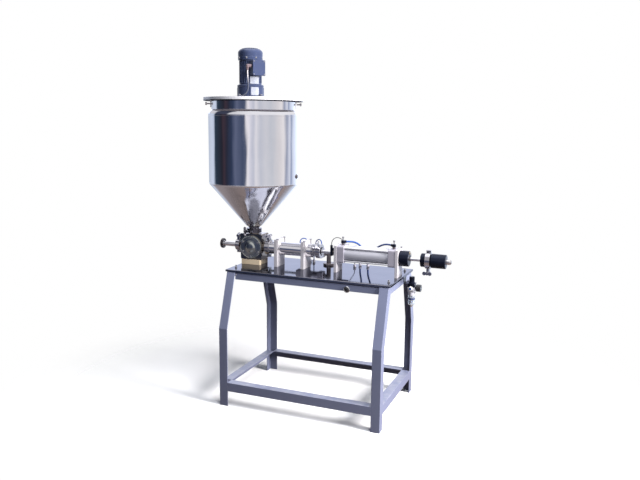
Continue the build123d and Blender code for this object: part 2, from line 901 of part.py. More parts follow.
# Discharge spout
with BuildPart() as discharge_spout:
    add(
        turned_x(
            [
                (spout_joint_x, outlet_r),
                (spout_joint_x, spout_ferrule_r),
                (spout_joint_x - ferrule_thickness, spout_ferrule_r),
                (spout_joint_x - ferrule_thickness, spout_neck_r),
                (spout_end_x + spout_flange, spout_neck_r),
                (spout_end_x + spout_flange, spout_flange_r),
                (spout_end_x, spout_flange_r),
                (spout_end_x, outlet_r),
            ]
        )
    )
    flange_rims = discharge_spout.edges().filter_by(GeomType.CIRCLE).sort_by(SortBy.RADIUS)[-2:]
    fillet(flange_rims, spout_edge)
save(discharge_spout, "discharge_spout")

# Hinged clamps on the four pipe joints, and their wing nuts
lean = radians(rear_clamp_tilt)
joints = {
    "hopper": Plane((valve_x, 0, hopper_joint_z), x_dir=(-1, 0, 0), z_dir=(0, 0, 1)),
    "cylinder": Plane((cylinder_joint_x, 0, axis_z), x_dir=(0, -1, 0), z_dir=(-1, 0, 0)),
    "spout": Plane((spout_joint_x, 0, axis_z), x_dir=(0, 1, 0), z_dir=(1, 0, 0)),
    "rear": Plane((rear_joint_x, 0, axis_z), x_dir=(0, -cos(lean), -sin(lean)), z_dir=(-1, 0, 0)),
}
joint_sizes = {
    "hopper": (hopper_neck_r, hopper_ferrule_r),
    "cylinder": (cylinder_neck_r, cylinder_ferrule_r),
    "spout": (spout_neck_r, spout_ferrule_r),
    "rear": (rear_neck_r, rear_ferrule_r),
}
clamp_solids = []
nut_solids = []
for place, joint in joints.items():
    neck_r, ferrule_r = joint_sizes[place]
    clamp_solids += ferrule_clamp(joint, neck_r, ferrule_r).solids()
    nut_solids += wing_nut(joint, ferrule_r).solids()
pipe_clamps = Compound(label="pipe_clamps", children=clamp_solids)
export_step(pipe_clamps, "parts/pipe_clamps.step")
wing_nuts = Compound(label="wing_nuts", children=nut_solids)
export_step(wing_nuts, "parts/wing_nuts.step")


def vessel_cone_r(z):
    # Outer radius of the vessel's cone at a height.
    return hopper_neck_r + cone_slope * (z - cone_foot)


# Hopper: inner vessel and the heating jacket round it, each welded together from its sections
outlet_top = cone_foot + outlet_rise
seam_z = cone_top + seam_rise
inner_lift = (cone_wall - vessel_wall) / cone_slope
with BuildPart() as vessel_outlet:
    add(
        turned_z(
            [
                (hopper_neck_r - vessel_wall, hopper_joint_z),
                (hopper_ferrule_r, hopper_joint_z),
                (hopper_ferrule_r, hopper_joint_z + ferrule_thickness),
                (hopper_neck_r, hopper_joint_z + ferrule_thickness),
                (hopper_neck_r, cone_foot),
                (vessel_cone_r(outlet_top), outlet_top),
                (vessel_cone_r(outlet_top) - cone_wall, outlet_top),
                (hopper_neck_r - vessel_wall, cone_foot + inner_lift),
            ]
        )
    )
with BuildPart() as vessel_cone:
    add(
        turned_z(
            [
                (vessel_cone_r(outlet_top), outlet_top),
                (vessel_r, cone_top),
                (vessel_r, seam_z),
                (vessel_r - vessel_wall, seam_z),
                (vessel_r - vessel_wall, cone_top + inner_lift),
                (vessel_cone_r(outlet_top) - cone_wall, outlet_top),
            ]
        )
    )
with BuildPart() as vessel_side:
    add(
        turned_z(
            [
                (vessel_r, seam_z),
                (vessel_r, rim_top),
                (vessel_r - vessel_wall, rim_top),
                (vessel_r - vessel_wall, seam_z),
            ]
        )
    )
vessel_solids = [section.part.solid() for section in (vessel_outlet, vessel_cone, vessel_side)]
hopper_vessel = Compound(label="hopper_vessel", children=vessel_solids)
export_step(hopper_vessel, "parts/hopper_vessel.step")

shoulder_z = rim_top - shoulder_drop
side_top = shoulder_z - shoulder_height
jacket_foot = cone_foot + jacket_floor
jacket_foot_top = jacket_foot + jacket_wall
shoulder_wall = jacket_wall * hypot(1, shoulder_height / jacket_gap)
foot_r = vessel_cone_r(jacket_foot) + jacket_foot_gap
jacket_slope = (jacket_r - foot_r) / (cone_top - jacket_foot)
jacket_cone_wall = jacket_wall * hypot(1, jacket_slope)
jacket_knee = cone_top + (jacket_cone_wall - jacket_wall) / jacket_slope
with BuildPart() as jacket_cone:
    add(
        turned_z(
            [
                (jacket_r, seam_z),
                (jacket_r, cone_top),
                (foot_r, jacket_foot),
                (vessel_cone_r(jacket_foot) + seat_gap, jacket_foot),
                (vessel_cone_r(jacket_foot_top) + seat_gap, jacket_foot_top),
                (foot_r + jacket_slope * jacket_wall - jacket_cone_wall, jacket_foot_top),
                (jacket_r - jacket_wall, jacket_knee),
                (jacket_r - jacket_wall, seam_z),
            ]
        )
    )
with BuildPart() as jacket_side:
    add(
        turned_z(
            [
                (vessel_r + seat_gap, shoulder_z),
                (jacket_r, side_top),
                (jacket_r, seam_z),
                (jacket_r - jacket_wall, seam_z),
                (jacket_r - jacket_wall, side_top - jacket_wall),
                (vessel_r + seat_gap, shoulder_z - shoulder_wall),
            ]
        )
    )
hopper_jacket = Compound(label="hopper_jacket", children=[jacket_cone.part.solid(), jacket_side.part.solid()])
export_step(hopper_jacket, "parts/hopper_jacket.step")

# Lid with its skirt and two hanging lugs, and the hand screws that hold it on the rim
lug_r = vessel_r + lug_gap
lug_places = [lug_angle, lug_angle + 180]
screw_z = rim_top - lid_screw_drop
with BuildPart() as lid:
    add(
        turned_z(
            [
                (shaft_r + free_gap, rim_top),
                (lid_radius - lid_skirt_wall, rim_top),
                (lid_radius - lid_skirt_wall, lid_top - lid_skirt),
                (lid_radius, lid_top - lid_skirt),
                (lid_radius, lid_top),
                (shaft_r + free_gap, lid_top),
            ]
        )
    )
    for angle in lug_places:
        lug_plane = Plane((valve_x, 0, rim_top)).rotated((0, 0, angle))
        with Locations(lug_plane):
            with Locations((lug_r + lug_thickness / 2, 0, -lug_length / 2)):
                Box(lug_thickness, lug_width, lug_length)
            with Locations((lug_r + lug_thickness / 2, 0, -lid_screw_drop)):
                hole_r = lid_screw_r + seat_gap
                Cylinder(hole_r, 4 * lug_thickness, rotation=(0, 90, 0), mode=Mode.SUBTRACT)
save(lid, "lid")

with BuildPart() as lid_screws:
    for angle in lug_places:
        screw_plane = Plane((valve_x, 0, screw_z)).rotated((0, 0, angle))
        with Locations(screw_plane):
            with Locations((vessel_r + free_gap + lid_screw_length / 2, 0, 0)):
                Cylinder(lid_screw_r, lid_screw_length, rotation=(0, 90, 0))
            with Locations((vessel_r + lid_screw_length - lid_screw_head / 2, 0, 0)):
                Cylinder(lid_screw_head_r, lid_screw_head, rotation=(0, 90, 0))
    for turn in range(gear_bolt_count):
        angle = radians(lug_angle + 360 * (turn + 0.5) / gear_bolt_count)
        bolt_x = motor_x + gear_ear_circle_r * cos(angle)
        bolt_y = gear_ear_circle_r * sin(angle)
        add(upright(bolt_x, bolt_y, lid_top, gear_bolt_r, gear_ear_height))
        add(upright(bolt_x, bolt_y, lid_top + gear_ear_height, gear_bolt_head_r, gear_bolt_head))
save(lid_screws, "lid_screws")

# Stirrer: one welded anchor on the gear motor's output shaft
anchor_top = rim_top - anchor_top_drop
anchor_knee = cone_foot + (anchor_r + anchor_gap + cone_wall - hopper_neck_r) / cone_slope
anchor_foot = cone_foot + (anchor_tip_r + anchor_gap + cone_wall - hopper_neck_r) / cone_slope
with BuildPart() as agitator:
    with BuildSketch(Plane((valve_x, 0, 0), x_dir=(1, 0, 0), z_dir=(0, -1, 0))):
        with BuildLine():
            Polyline(
                (-anchor_r, anchor_top),
                (-anchor_r, anchor_knee),
                (-anchor_tip_r, anchor_foot),
                (anchor_tip_r, anchor_foot),
                (anchor_r, anchor_knee),
                (anchor_r, anchor_top),
                close=True,
            )
        make_face()
        offset(amount=-anchor_bar, mode=Mode.SUBTRACT)
    extrude(amount=anchor_thickness / 2, both=True)
    shaft_top = lid_top + gear_height / 2
    add(upright(valve_x, 0, anchor_foot, shaft_r, shaft_top - anchor_foot))
    add(upright(valve_x, 0, anchor_top - anchor_bar, anchor_hub_r, anchor_bar))
save(agitator, "agitator")

# Gear motor on the lid, its output shaft set to one side of the motor's axis
with BuildPart() as gear_housing:
    add(
        turned_z(
            [
                (0, lid_top),
                (gear_r, lid_top),
                (gear_r, gear_top),
                (rotor_shaft_r + running_fit, gear_top),
                (rotor_shaft_r + running_fit, gear_top - gear_wall),
                (gear_r - gear_wall, gear_top - gear_wall),
                (gear_r - gear_wall, lid_top + gear_wall),
                (0, lid_top + gear_wall),
            ],
            motor_x,
        )
    )
    add(upright(valve_x, 0, lid_top, shaft_r + running_fit, gear_wall), mode=Mode.SUBTRACT)
    top_rims = gear_housing.edges().filter_by(GeomType.CIRCLE).group_by(Axis.Z)[-1]
    fillet(top_rims.sort_by(SortBy.RADIUS)[-1], gear_edge)
    for turn in range(gear_bolt_count):
        angle = radians(lug_angle + 360 * (turn + 0.5) / gear_bolt_count)
        bolt_x = motor_x + gear_ear_circle_r * cos(angle)
        bolt_y = gear_ear_circle_r * sin(angle)
        add(upright(bolt_x, bolt_y, lid_top, gear_ear_r, gear_ear_height))
        add(upright(bolt_x, bolt_y, lid_top, gear_bolt_r + seat_gap, gear_ear_height), mode=Mode.SUBTRACT)
        head_r = gear_bolt_head_r + seat_gap
        head_foot = lid_top + gear_ear_height
        add(upright(bolt_x, bolt_y, head_foot, head_r, gear_height / 2), mode=Mode.SUBTRACT)
save(gear_housing, "gear_housing")

terminal_dir = radians(terminal_angle)
terminal_plane = Plane(
    (motor_x, 0, motor_top - terminal_drop - terminal_height / 2),
    x_dir=(cos(terminal_dir), sin(terminal_dir), 0),
    z_dir=(sin(terminal_dir), -cos(terminal_dir), 0),
)
terminal_back = sqrt(motor_r**2 - (terminal_width / 2) ** 2)
terminal_front = motor_r + fin_height + terminal_depth

with BuildPart() as motor_housing:
    with Locations((motor_x, 0, (gear_top + motor_top) / 2)):
        with PolarLocations(motor_r, fin_count):
            Box(2 * fin_height, fin_width, motor_height)
    with Locations(terminal_plane):
        with Locations((0, 0, motor_r)):
            footprint_width = terminal_width + 2 * seat_gap
            footprint_height = terminal_height + 2 * seat_gap
            Box(footprint_width, footprint_height, motor_r, mode=Mode.SUBTRACT)
    add(
        turned_z(
            [
                (motor_r - motor_wall, gear_top),
                (motor_r, gear_top),
                (motor_r, motor_top),
                (rotor_shaft_r + running_fit, motor_top),
                (rotor_shaft_r + running_fit, motor_top - motor_wall),
                (motor_r - motor_wall, motor_top - motor_wall),
            ],
            motor_x,
        )
    )
save(motor_housing, "motor_housing")

with BuildPart() as fan_cover:
    add(
        turned_z(
            [
                (motor_r + fin_height + seat_gap, motor_top - fan_cover_wall),
                (fan_cover_r, motor_top - fan_cover_wall),
                (fan_cover_r, machine_top),
                (0, machine_top),
                (0, machine_top - fan_cover_wall),
                (fan_cover_r - fan_cover_wall, machine_top - fan_cover_wall),
                (fan_cover_r - fan_cover_wall, motor_top),
                (motor_r + fin_height + seat_gap, motor_top),
            ],
            motor_x,
        )
    )
    dome_rims = fan_cover.edges().filter_by(GeomType.CIRCLE).group_by(Axis.Z)
    fillet(dome_rims[-2], fan_cover_edge - fan_cover_wall)
    fillet(fan_cover.edges().filter_by(GeomType.CIRCLE).group_by(Axis.Z)[-1], fan_cover_edge)
save(fan_cover, "fan_cover")

with BuildPart() as motor_rotor:
    rotor_foot = gear_top + (motor_height - motor_wall - rotor_length) / 2
    fan_foot = motor_top + fan_gap
    pinion_foot = gear_top - gear_height / 2 + free_gap
    add(
        turned_z(
            [
                (0, pinion_foot),
                (rotor_shaft_r, pinion_foot),
                (rotor_shaft_r, rotor_foot),
                (rotor_r, rotor_foot),
                (rotor_r, rotor_foot + rotor_length),
                (rotor_shaft_r, rotor_foot + rotor_length),
                (rotor_shaft_r, fan_foot),
                (fan_r, fan_foot),
                (fan_r, fan_foot + fan_thickness / 4),
                (rotor_shaft_r, fan_foot + fan_thickness / 4),
                (rotor_shaft_r, fan_foot + fan_thickness),
                (0, fan_foot + fan_thickness),
            ],
            motor_x,
        )
    )
    blade_start = rotor_shaft_r / 2
    blade_length = fan_r - fan_blade - blade_start
    with Locations((motor_x, 0, fan_foot + fan_thickness / 2)):
        with PolarLocations(blade_start + blade_length / 2, fan_blade_count):
            Box(blade_length, fan_blade, fan_thickness)
save(motor_rotor, "motor_rotor")

with BuildPart() as terminal_box:
    with Locations(terminal_plane):
        with Locations((0, 0, (terminal_back + terminal_front) / 2)):
            Box(terminal_width, terminal_height, terminal_front - terminal_back)
    fillet(terminal_box.edges().filter_by(Axis.Z), terminal_edge)
    with Locations(terminal_plane):
        with Locations((0, 0, (motor_r + fin_height + terminal_front - terminal_cover) / 2)):
            inner_depth = terminal_front - terminal_cover - motor_r - fin_height
            inner_width = terminal_width - 2 * terminal_wall
            inner_height = terminal_height - 2 * terminal_wall
            Box(inner_width, inner_height, inner_depth, mode=Mode.SUBTRACT)
    with Locations((motor_x, 0, (gear_top + motor_top) / 2)):
        Cylinder(motor_r + seat_gap, 2 * motor_height, mode=Mode.SUBTRACT)
save(terminal_box, "terminal_box")

gland_plane = Plane(
    terminal_plane.from_local_coords(
        (-terminal_width / 2, terminal_height / 2 - gland_drop, motor_r + fin_height + terminal_depth / 2)
    ),
    x_dir=(0, 0, 1),
    z_dir=(-cos(terminal_dir), -sin(terminal_dir), 0),
)
# An elbow that turns the lead straight down
elbow = gland_plane.from_local_coords((0, 0, gland_reach))
with BuildPart() as cable_gland:
    with Locations(gland_plane):
        Cylinder(gland_r, gland_nut, align=(Align.CENTER, Align.CENTER, Align.MIN))
        Cylinder(gland_body_r, gland_reach, align=(Align.CENTER, Align.CENTER, Align.MIN))
    with Locations(elbow):
        Sphere(gland_body_r)
        Cylinder(gland_body_r, gland_fall, align=(Align.CENTER, Align.CENTER, Align.MAX))
    with Locations(elbow - Vector(0, 0, gland_fall)):
        Cone(gland_tip_r, gland_body_r, gland_taper, align=(Align.CENTER, Align.CENTER, Align.MAX))
save(cable_gland, "cable_gland")

# Product cylinder: barrel, its split saddles, rear head and rod gland
rod_bore_r = product_rod_r + running_fit
bore_start_x = cylinder_joint_x + barrel_head
shoulder_x = cylinder_joint_x + ferrule_thickness + clamp_lip + free_gap
head_screw_plane = Plane((barrel_end_x + head_disc, 0, axis_z), x_dir=(0, 1, 0), z_dir=(1, 0, 0))
head_screw_circle_r = (barrel_bore_r + barrel_r) / 2
with BuildPart() as product_barrel:
    add(
        turned_x(
            [
                (cylinder_joint_x, port_r),
                (cylinder_joint_x, cylinder_ferrule_r),
                (cylinder_joint_x + ferrule_thickness, cylinder_ferrule_r),
                (cylinder_joint_x + ferrule_thickness, cylinder_neck_r),
                (shoulder_x, cylinder_neck_r),
                (shoulder_x, barrel_r),
                (barrel_end_x, barrel_r),
                (barrel_end_x, barrel_bore_r),
                (bore_start_x, barrel_bore_r),
                (bore_start_x, port_r),
            ]
        )
    )
    with Locations(head_screw_plane.offset(-head_disc)):
        with PolarLocations(head_screw_circle_r, head_screw_count, start_angle=head_screw_start):
            Hole(head_screw_r + seat_gap, depth=head_screw_depth)
save(product_barrel, "product_barrel")

saddle_places = [cylinder_joint_x + step for step in saddle_offsets]
saddle_bolts = [(x + saddle_thickness / 2, side * saddle_bolt_y) for x in saddle_places for side in (-1, 1)]
saddle_z = axis_z + saddle_top
with BuildPart() as cylinder_saddles:
    for x in saddle_places:
        saddle_x = (x, x + saddle_thickness)
        saddle_y = (-saddle_width / 2, saddle_width / 2)
        add(block(saddle_x, saddle_y, (table_z, axis_z - saddle_split / 2)))
        add(block(saddle_x, saddle_y, (axis_z + saddle_split / 2, saddle_z)))
        ring_r = barrel_r + seat_gap
        add(turned_x([(x, 0), (x, ring_r), (x + saddle_thickness, ring_r), (x + saddle_thickness, 0)]),
            mode=Mode.SUBTRACT)
    for x, y in saddle_bolts:
        bolt_foot = saddle_z - saddle_bolt_length
        add(upright(x, y, bolt_foot, saddle_bolt_r + seat_gap, saddle_bolt_length), mode=Mode.SUBTRACT)
save(cylinder_saddles, "cylinder_saddles")

head_bore_r = product_rod_r + head_bore_gap
spigot_x = barrel_end_x - head_spigot
with BuildPart() as head_block:
    add(
        turned_x(
            [
                (spigot_x, head_bore_r),
                (spigot_x, barrel_bore_r - seat_gap),
                (barrel_end_x, barrel_bore_r - seat_gap),
                (barrel_end_x, barrel_r),
                (barrel_end_x + head_disc, barrel_r),
                (barrel_end_x + head_disc, rear_neck_r),
                (rear_joint_x - ferrule_thickness, rear_neck_r),
                (rear_joint_x - ferrule_thickness, rear_ferrule_r),
                (rear_joint_x, rear_ferrule_r),
                (rear_joint_x, head_bore_r),
            ]
        )
    )
    with Locations(head_screw_plane):
        with PolarLocations(head_screw_circle_r, head_screw_count, start_angle=head_screw_start):
            Hole(head_screw_r + seat_gap, depth=head_disc)
with BuildPart() as gland_bush:
    add(
        turned_x(
            [
                (rear_joint_x, rod_bore_r),
                (rear_joint_x, rear_ferrule_r),
                (rear_joint_x + ferrule_thickness, rear_ferrule_r),
                (rear_joint_x + ferrule_thickness, gland_nose_r),
                (gland_end_x, gland_nose_r),
                (gland_end_x, rod_bore_r),
            ]
        )
    )
rear_head = Compound(label="rear_head", children=[*head_block.part.solids(), *gland_bush.part.solids()])
export_step(rear_head, "parts/rear_head.step")

# Pistons, rods and the coupling between them
rod_seat = product_piston_length / 6
with BuildPart() as product_piston:
    piston_r = barrel_bore_r - piston_gap
    piston_end_x = product_piston_x + product_piston_length
    add(
        turned_x(
            [
                (product_piston_x, 0),
                (product_piston_x, piston_r),
                (piston_end_x, piston_r),
                (piston_end_x, rod_bore_r),
                (product_piston_x + rod_seat, rod_bore_r),
                (product_piston_x + rod_seat, 0),
            ]
        )
    )
save(product_piston, "product_piston")

drive_bush_r = drive_rod_r + running_fit
with BuildPart() as drive_piston:
    piston_r = drive_bore_r - piston_gap
    piston_end_x = drive_piston_x + drive_piston_length
    add(
        turned_x(
            [
                (drive_piston_x, drive_bush_r),
                (drive_piston_x, piston_r),
                (piston_end_x, piston_r),
                (piston_end_x, drive_bush_r),
            ]
        )
    )
save(drive_piston, "drive_piston")

rod_end_x = end_nut_x - sleeve_end_wall - adjuster_travel - free_gap
coupling_end_x = coupling_x + coupling_length
with BuildPart() as piston_rods:
    front_rod_x = product_piston_x + rod_seat
    front_rod_end_x = rod_meet_x - free_gap
    add(
        turned_x(
            [
                (front_rod_x, 0),
                (front_rod_x, product_rod_r),
                (front_rod_end_x, product_rod_r),
                (front_rod_end_x, 0),
            ]
        )
    )
    add(
        turned_x(
            [
                (rod_meet_x, 0),
                (rod_meet_x, coupling_stud_r),
                (coupling_end_x, coupling_stud_r),
                (coupling_end_x, drive_rod_r),
                (drive_piston_x + drive_piston_length, drive_rod_r),
                (drive_piston_x + drive_piston_length, rear_rod_r),
                (rod_end_x, rear_rod_r),
                (rod_end_x, 0),
            ]
        )
    )
save(piston_rods, "piston_rods")

with BuildPart() as rod_coupling:
    add(
        turned_x(
            [
                (coupling_x, rod_bore_r),
                (coupling_x, coupling_r),
                (coupling_end_x, coupling_r),
                (coupling_end_x, coupling_stud_r + running_fit),
                (rod_meet_x, coupling_stud_r + running_fit),
                (rod_meet_x, rod_bore_r),
            ]
        )
    )
    chamfer(rod_coupling.edges().filter_by(GeomType.CIRCLE).sort_by(SortBy.RADIUS)[-2:], coupling_r / 10)
save(rod_coupling, "rod_coupling")

# Drive cylinder: barrel, end caps, tie rods and the two plates that carry it
rear_bush_r = rear_rod_r + running_fit
tie_rod_x = (front_cap_x + tie_rod_inset, rear_support_x - tie_rod_inset)
with BuildPart() as drive_barrel:
    add(
        turned_x(
            [
                (drive_barrel_x, drive_bore_r),
                (drive_barrel_x, drive_barrel_r),
                (rear_cap_x, drive_barrel_r),
                (rear_cap_x, drive_bore_r),
            ]
        )
    )
save(drive_barrel, "drive_barrel")

tie_rod_middle = (tie_rod_x[0] + tie_rod_x[1]) / 2
tie_rod_plane = Plane((tie_rod_middle, 0, axis_z), x_dir=(0, 1, 0), z_dir=(1, 0, 0))
tie_rod_length = tie_rod_x[1] - tie_rod_x[0]
with BuildPart() as tie_rods:
    with Locations(tie_rod_plane):
        with GridLocations(2 * tie_rod_spread, 2 * tie_rod_spread, 2, 2):
            Cylinder(tie_rod_r, tie_rod_length)
save(tie_rods, "tie_rods")

with BuildPart() as drive_caps:
    cap_side = (-drive_cap_size / 2, drive_cap_size / 2)
    cap_height = (axis_z - drive_cap_size / 2, cap_top)
    for x, bush_r in ((front_cap_x, drive_bush_r), (rear_cap_x, rear_bush_r)):
        end_x = x + drive_cap_length
        add(block((x, end_x), cap_side, cap_height))
        add(turned_x([(x, 0), (x, bush_r), (end_x, bush_r), (end_x, 0)]), mode=Mode.SUBTRACT)
    cap_edges = drive_caps.edges().filter_by(GeomType.LINE).filter_by(Axis.X)
    fillet(cap_edges, drive_cap_size / 12)
    with Locations(tie_rod_plane):
        with GridLocations(2 * tie_rod_spread, 2 * tie_rod_spread, 2, 2):
            Cylinder(tie_rod_r + seat_gap, tie_rod_length, mode=Mode.SUBTRACT)
save(drive_caps, "drive_caps")

with BuildPart() as drive_supports:
    for x in (drive_x, rear_support_x):
        end_x = x + drive_support
        plate_y = (-drive_support_width / 2, drive_support_width / 2)
        add(block((x, end_x), plate_y, (table_z, axis_z + drive_support_top)))
        add(turned_x([(x, 0), (x, drive_rod_hole_r), (end_x, drive_rod_hole_r), (end_x, 0)]),
            mode=Mode.SUBTRACT)
save(drive_supports, "drive_supports")

# Stroke adjuster: fixed bumper, sliding stop collar and the threaded sleeve that sets it
with BuildPart() as stop_bumper:
    bumper_end_x = bumper_x + bumper_length
    add(
        turned_x(
            [
                (bumper_x, rear_rod_r + free_gap),
                (bumper_x, bumper_r),
                (bumper_end_x, bumper_r),
                (bumper_end_x, rear_rod_r + free_gap),
            ]
        )
    )
    chamfer(stop_bumper.edges().filter_by(GeomType.CIRCLE).sort_by(SortBy.RADIUS)[-2:], bumper_r / 20)
save(stop_bumper, "stop_bumper")

with BuildPart() as stop_collar:
    add(
        turned_x(
            [
                (collar_x, rear_bush_r),
                (collar_x, collar_r),
                (collar_x + collar_length, collar_r),
                (collar_x + collar_length, adjuster_neck_r),
                (adjuster_joint_x - ferrule_thickness, adjuster_neck_r),
                (adjuster_joint_x - ferrule_thickness, adjuster_ferrule_r),
                (adjuster_joint_x, adjuster_ferrule_r),
                (adjuster_joint_x, rear_bush_r),
            ]
        )
    )
save(stop_collar, "stop_collar")

adjuster_joint = Plane((adjuster_joint_x, 0, axis_z), x_dir=(0, -1, 0), z_dir=(1, 0, 0))
adjuster_solids = ferrule_clamp(adjuster_joint, adjuster_neck_r, adjuster_ferrule_r).solids()
adjuster_solids += wing_nut(adjuster_joint, adjuster_ferrule_r).solids()
adjuster_clamp = Compound(label="adjuster_clamp", children=adjuster_solids)
export_step(adjuster_clamp, "parts/adjuster_clamp.step")

with BuildPart() as sleeve_tube:
    bore_end_x = end_nut_x - sleeve_end_wall
    add(
        turned_x(
            [
                (adjuster_joint_x, rear_bush_r),
                (adjuster_joint_x, adjuster_ferrule_r),
                (adjuster_joint_x + ferrule_thickness, adjuster_ferrule_r),
                (adjuster_joint_x + ferrule_thickness, adjuster_neck_r),
                (sleeve_x, adjuster_neck_r),
                (sleeve_x, sleeve_r),
                (end_nut_x, sleeve_r),
                (end_nut_x, 0),
                (bore_end_x, 0),
                (bore_end_x, rear_bush_r),
            ]
        )
    )
with BuildPart() as dome_nut:
    with Locations(Location((end_nut_x + end_nut_length / 2, 0, axis_z), (0, 90, 0))):
        Cylinder(end_nut_r, end_nut_length)
    fillet(dome_nut.edges().filter_by(GeomType.CIRCLE).sort_by(Axis.X)[-1], end_nut_round)
sleeve_solids = [*sleeve_tube.part.solids(), *dome_nut.part.solids()]
adjuster_sleeve = Compound(label="adjuster_sleeve", children=sleeve_solids)
export_step(adjuster_sleeve, "parts/adjuster_sleeve.step")

# Screws of the fixed frame: table studs, saddle bolts, valve cover screws and rear head screws
with BuildPart() as machine_screws:
    for x, y in stud_places:
        stud_foot = frame_height - angle_wall
        add(upright(x, y, stud_foot, stud_r, table_z + stud_rise - stud_foot))
    for x, y in stud_places:
        with BuildSketch(Plane((x, y, table_z))):
            RegularPolygon(nut_across / 2, 6, major_radius=False)
        extrude(amount=nut_height)
    for x, y in saddle_bolts:
        add(upright(x, y, saddle_z - saddle_bolt_length, saddle_bolt_r, saddle_bolt_length))
        add(upright(x, y, saddle_z, saddle_bolt_head_r, saddle_bolt_head))
    cover_screw_length = cover_thickness + cover_screw_depth
    for face in (valve_face, valve_rear_face):
        with Locations(face.offset(cover_thickness)):
            with PolarLocations(cover_screw_circle_r, cover_screw_count, start_angle=cover_screw_start):
                Cylinder(cover_screw_r, cover_screw_length, align=(Align.CENTER, Align.CENTER, Align.MAX))
                Cylinder(cover_screw_head_r, cover_screw_head, align=(Align.CENTER, Align.CENTER, Align.MIN))
    head_screw_length = head_disc + head_screw_depth
    with Locations(head_screw_plane):
        with PolarLocations(head_screw_circle_r, head_screw_count, start_angle=head_screw_start):
            Cylinder(head_screw_r, head_screw_length, align=(Align.CENTER, Align.CENTER, Align.MAX))
            Cylinder(head_screw_head_r, head_screw_head, align=(Align.CENTER, Align.CENTER, Align.MIN))
save(machine_screws, "machine_screws")

# Flow controls on the drive caps, and the other air fittings
flow_places = {
    "front": (front_cap_x + drive_cap_length / 2, 1),
    "rear": (rear_cap_x + drive_cap_length / 2, -1),
}
flow_outlet_z = cap_top + flow_base + flow_body / 2
flow_turn = radians(flow_outlet_turn)
flow_exits = {}
flow_dirs = {}
with BuildPart() as flow_controls:
    for place, (x, side) in flow_places.items():
        add(upright(x, 0, cap_top, flow_base_r, flow_base))
        add(upright(x, 0, cap_top + flow_base, flow_body_r, flow_body))
        add(upright(x, 0, cap_top + flow_base + flow_body, flow_screw_r, flow_screw))
        outlet_dir = Vector(side * cos(flow_turn), sin(flow_turn), 0)
        outlet_plane = Plane((x, 0, flow_outlet_z), z_dir=outlet_dir)
        with Locations(outlet_plane):
            Cylinder(flow_outlet_r, flow_outlet, align=(Align.CENTER, Align.CENTER, Align.MIN))
        flow_exits[place] = Vector(x, 0, flow_outlet_z) + outlet_dir * flow_outlet
        flow_dirs[place] = outlet_dir
save(flow_controls, "flow_controls")

connector_xs = [actuator_x + actuator_cap_length / 2, actuator_rear_x + actuator_cap_length / 2]
bulkhead_lines = {"left": connector_xs[0], "right": connector_xs[1]}
bulkheads = {
    place: (bulkhead_lines.get(place, drive_x) + x, y) for place, (x, y) in bulkhead_places.items()
}
regulator_face_y = regulator_y - regulator_size / 2
regulator_middle = regulator_body_top - regulator_body_height / 2
with BuildPart() as air_fittings:
    for x in connector_xs:
        add(upright(x, actuator_y, actuator_top, connector_r, connector_height))
    for x, y in bulkheads.values():
        add(upright(x, y, table_z, bulkhead_r, bulkhead_height))
    inlet_plane = Plane((regulator_x, regulator_face_y, regulator_middle), x_dir=(1, 0, 0), z_dir=(0, -1, 0))
    with Locations(inlet_plane):
        Cylinder(inlet_collar_r, inlet_collar, align=(Align.CENTER, Align.CENTER, Align.MIN))
    with Locations(inlet_plane.offset(inlet_collar)):
        Hole(inlet_r, depth=inlet_depth)
save(air_fittings, "air_fittings")

# Position sensor on a standoff from the front plate
sensor_x = drive_x - sensor_standoff - sensor_width / 2
sensor_z = axis_z + sensor_top
with BuildPart() as trip_sensor:
    sensor_side = (-sensor_y - sensor_width / 2, -sensor_y + sensor_width / 2)
    body_x = (sensor_x - sensor_width / 2, sensor_x + sensor_width / 2)
    add(block(body_x, sensor_side, (sensor_z - sensor_height, sensor_z)))
    foot_z = (sensor_z - sensor_height / 2, sensor_z - sensor_height / 4)
    add(block((sensor_x, drive_x), sensor_side, foot_z))
save(trip_sensor, "trip_sensor")

# Filter regulator on its bracket
bonnet_foot = regulator_body_top + bracket_sheet
bonnet_top = bonnet_foot + bonnet_height
with BuildPart() as regulator_block:
    half = regulator_size / 2
    block_y = (regulator_y - half, regulator_y + half)
    block_z = (regulator_body_top - regulator_body_height, regulator_body_top)
    add(block((regulator_x - half, regulator_x + half), block_y, block_z))
    fillet(regulator_block.edges().filter_by(Axis.Z), regulator_size / 10)
with BuildPart() as regulator_bonnet:
    add(
        turned_z(
            [
                (0, regulator_body_top),
                (bonnet_neck_r, regulator_body_top),
                (bonnet_neck_r, bonnet_foot),
                (bonnet_r, bonnet_foot),
                (bonnet_r, bonnet_top),
                (bonnet_stem_r, bonnet_top),
                (bonnet_stem_r, bonnet_top + bonnet_stem),
                (0, bonnet_top + bonnet_stem),
            ],
            regulator_x,
            regulator_y,
        )
    )
with BuildPart() as regulator_bracket:
    bracket_y = (regulator_y - bracket_width / 2, regulator_y + bracket_width / 2)
    shelf = (regulator_body_top, bonnet_foot)
    add(block((rail_face_x, regulator_x + half), bracket_y, shelf))
    wall = (rail_face_x, rail_face_x + bracket_sheet)
    add(block(wall, bracket_y, (regulator_body_top, regulator_body_top + bracket_height)))
    neck_hole = bonnet_neck_r + seat_gap
    add(upright(regulator_x, regulator_y, regulator_body_top, neck_hole, bracket_sheet), mode=Mode.SUBTRACT)
regulator_pieces = (regulator_block, regulator_bonnet, regulator_bracket)
regulator_solids = [solid for piece in regulator_pieces for solid in piece.part.solids()]
regulator_body = Compound(label="regulator_body", children=regulator_solids)
export_step(regulator_body, "parts/regulator_body.step")

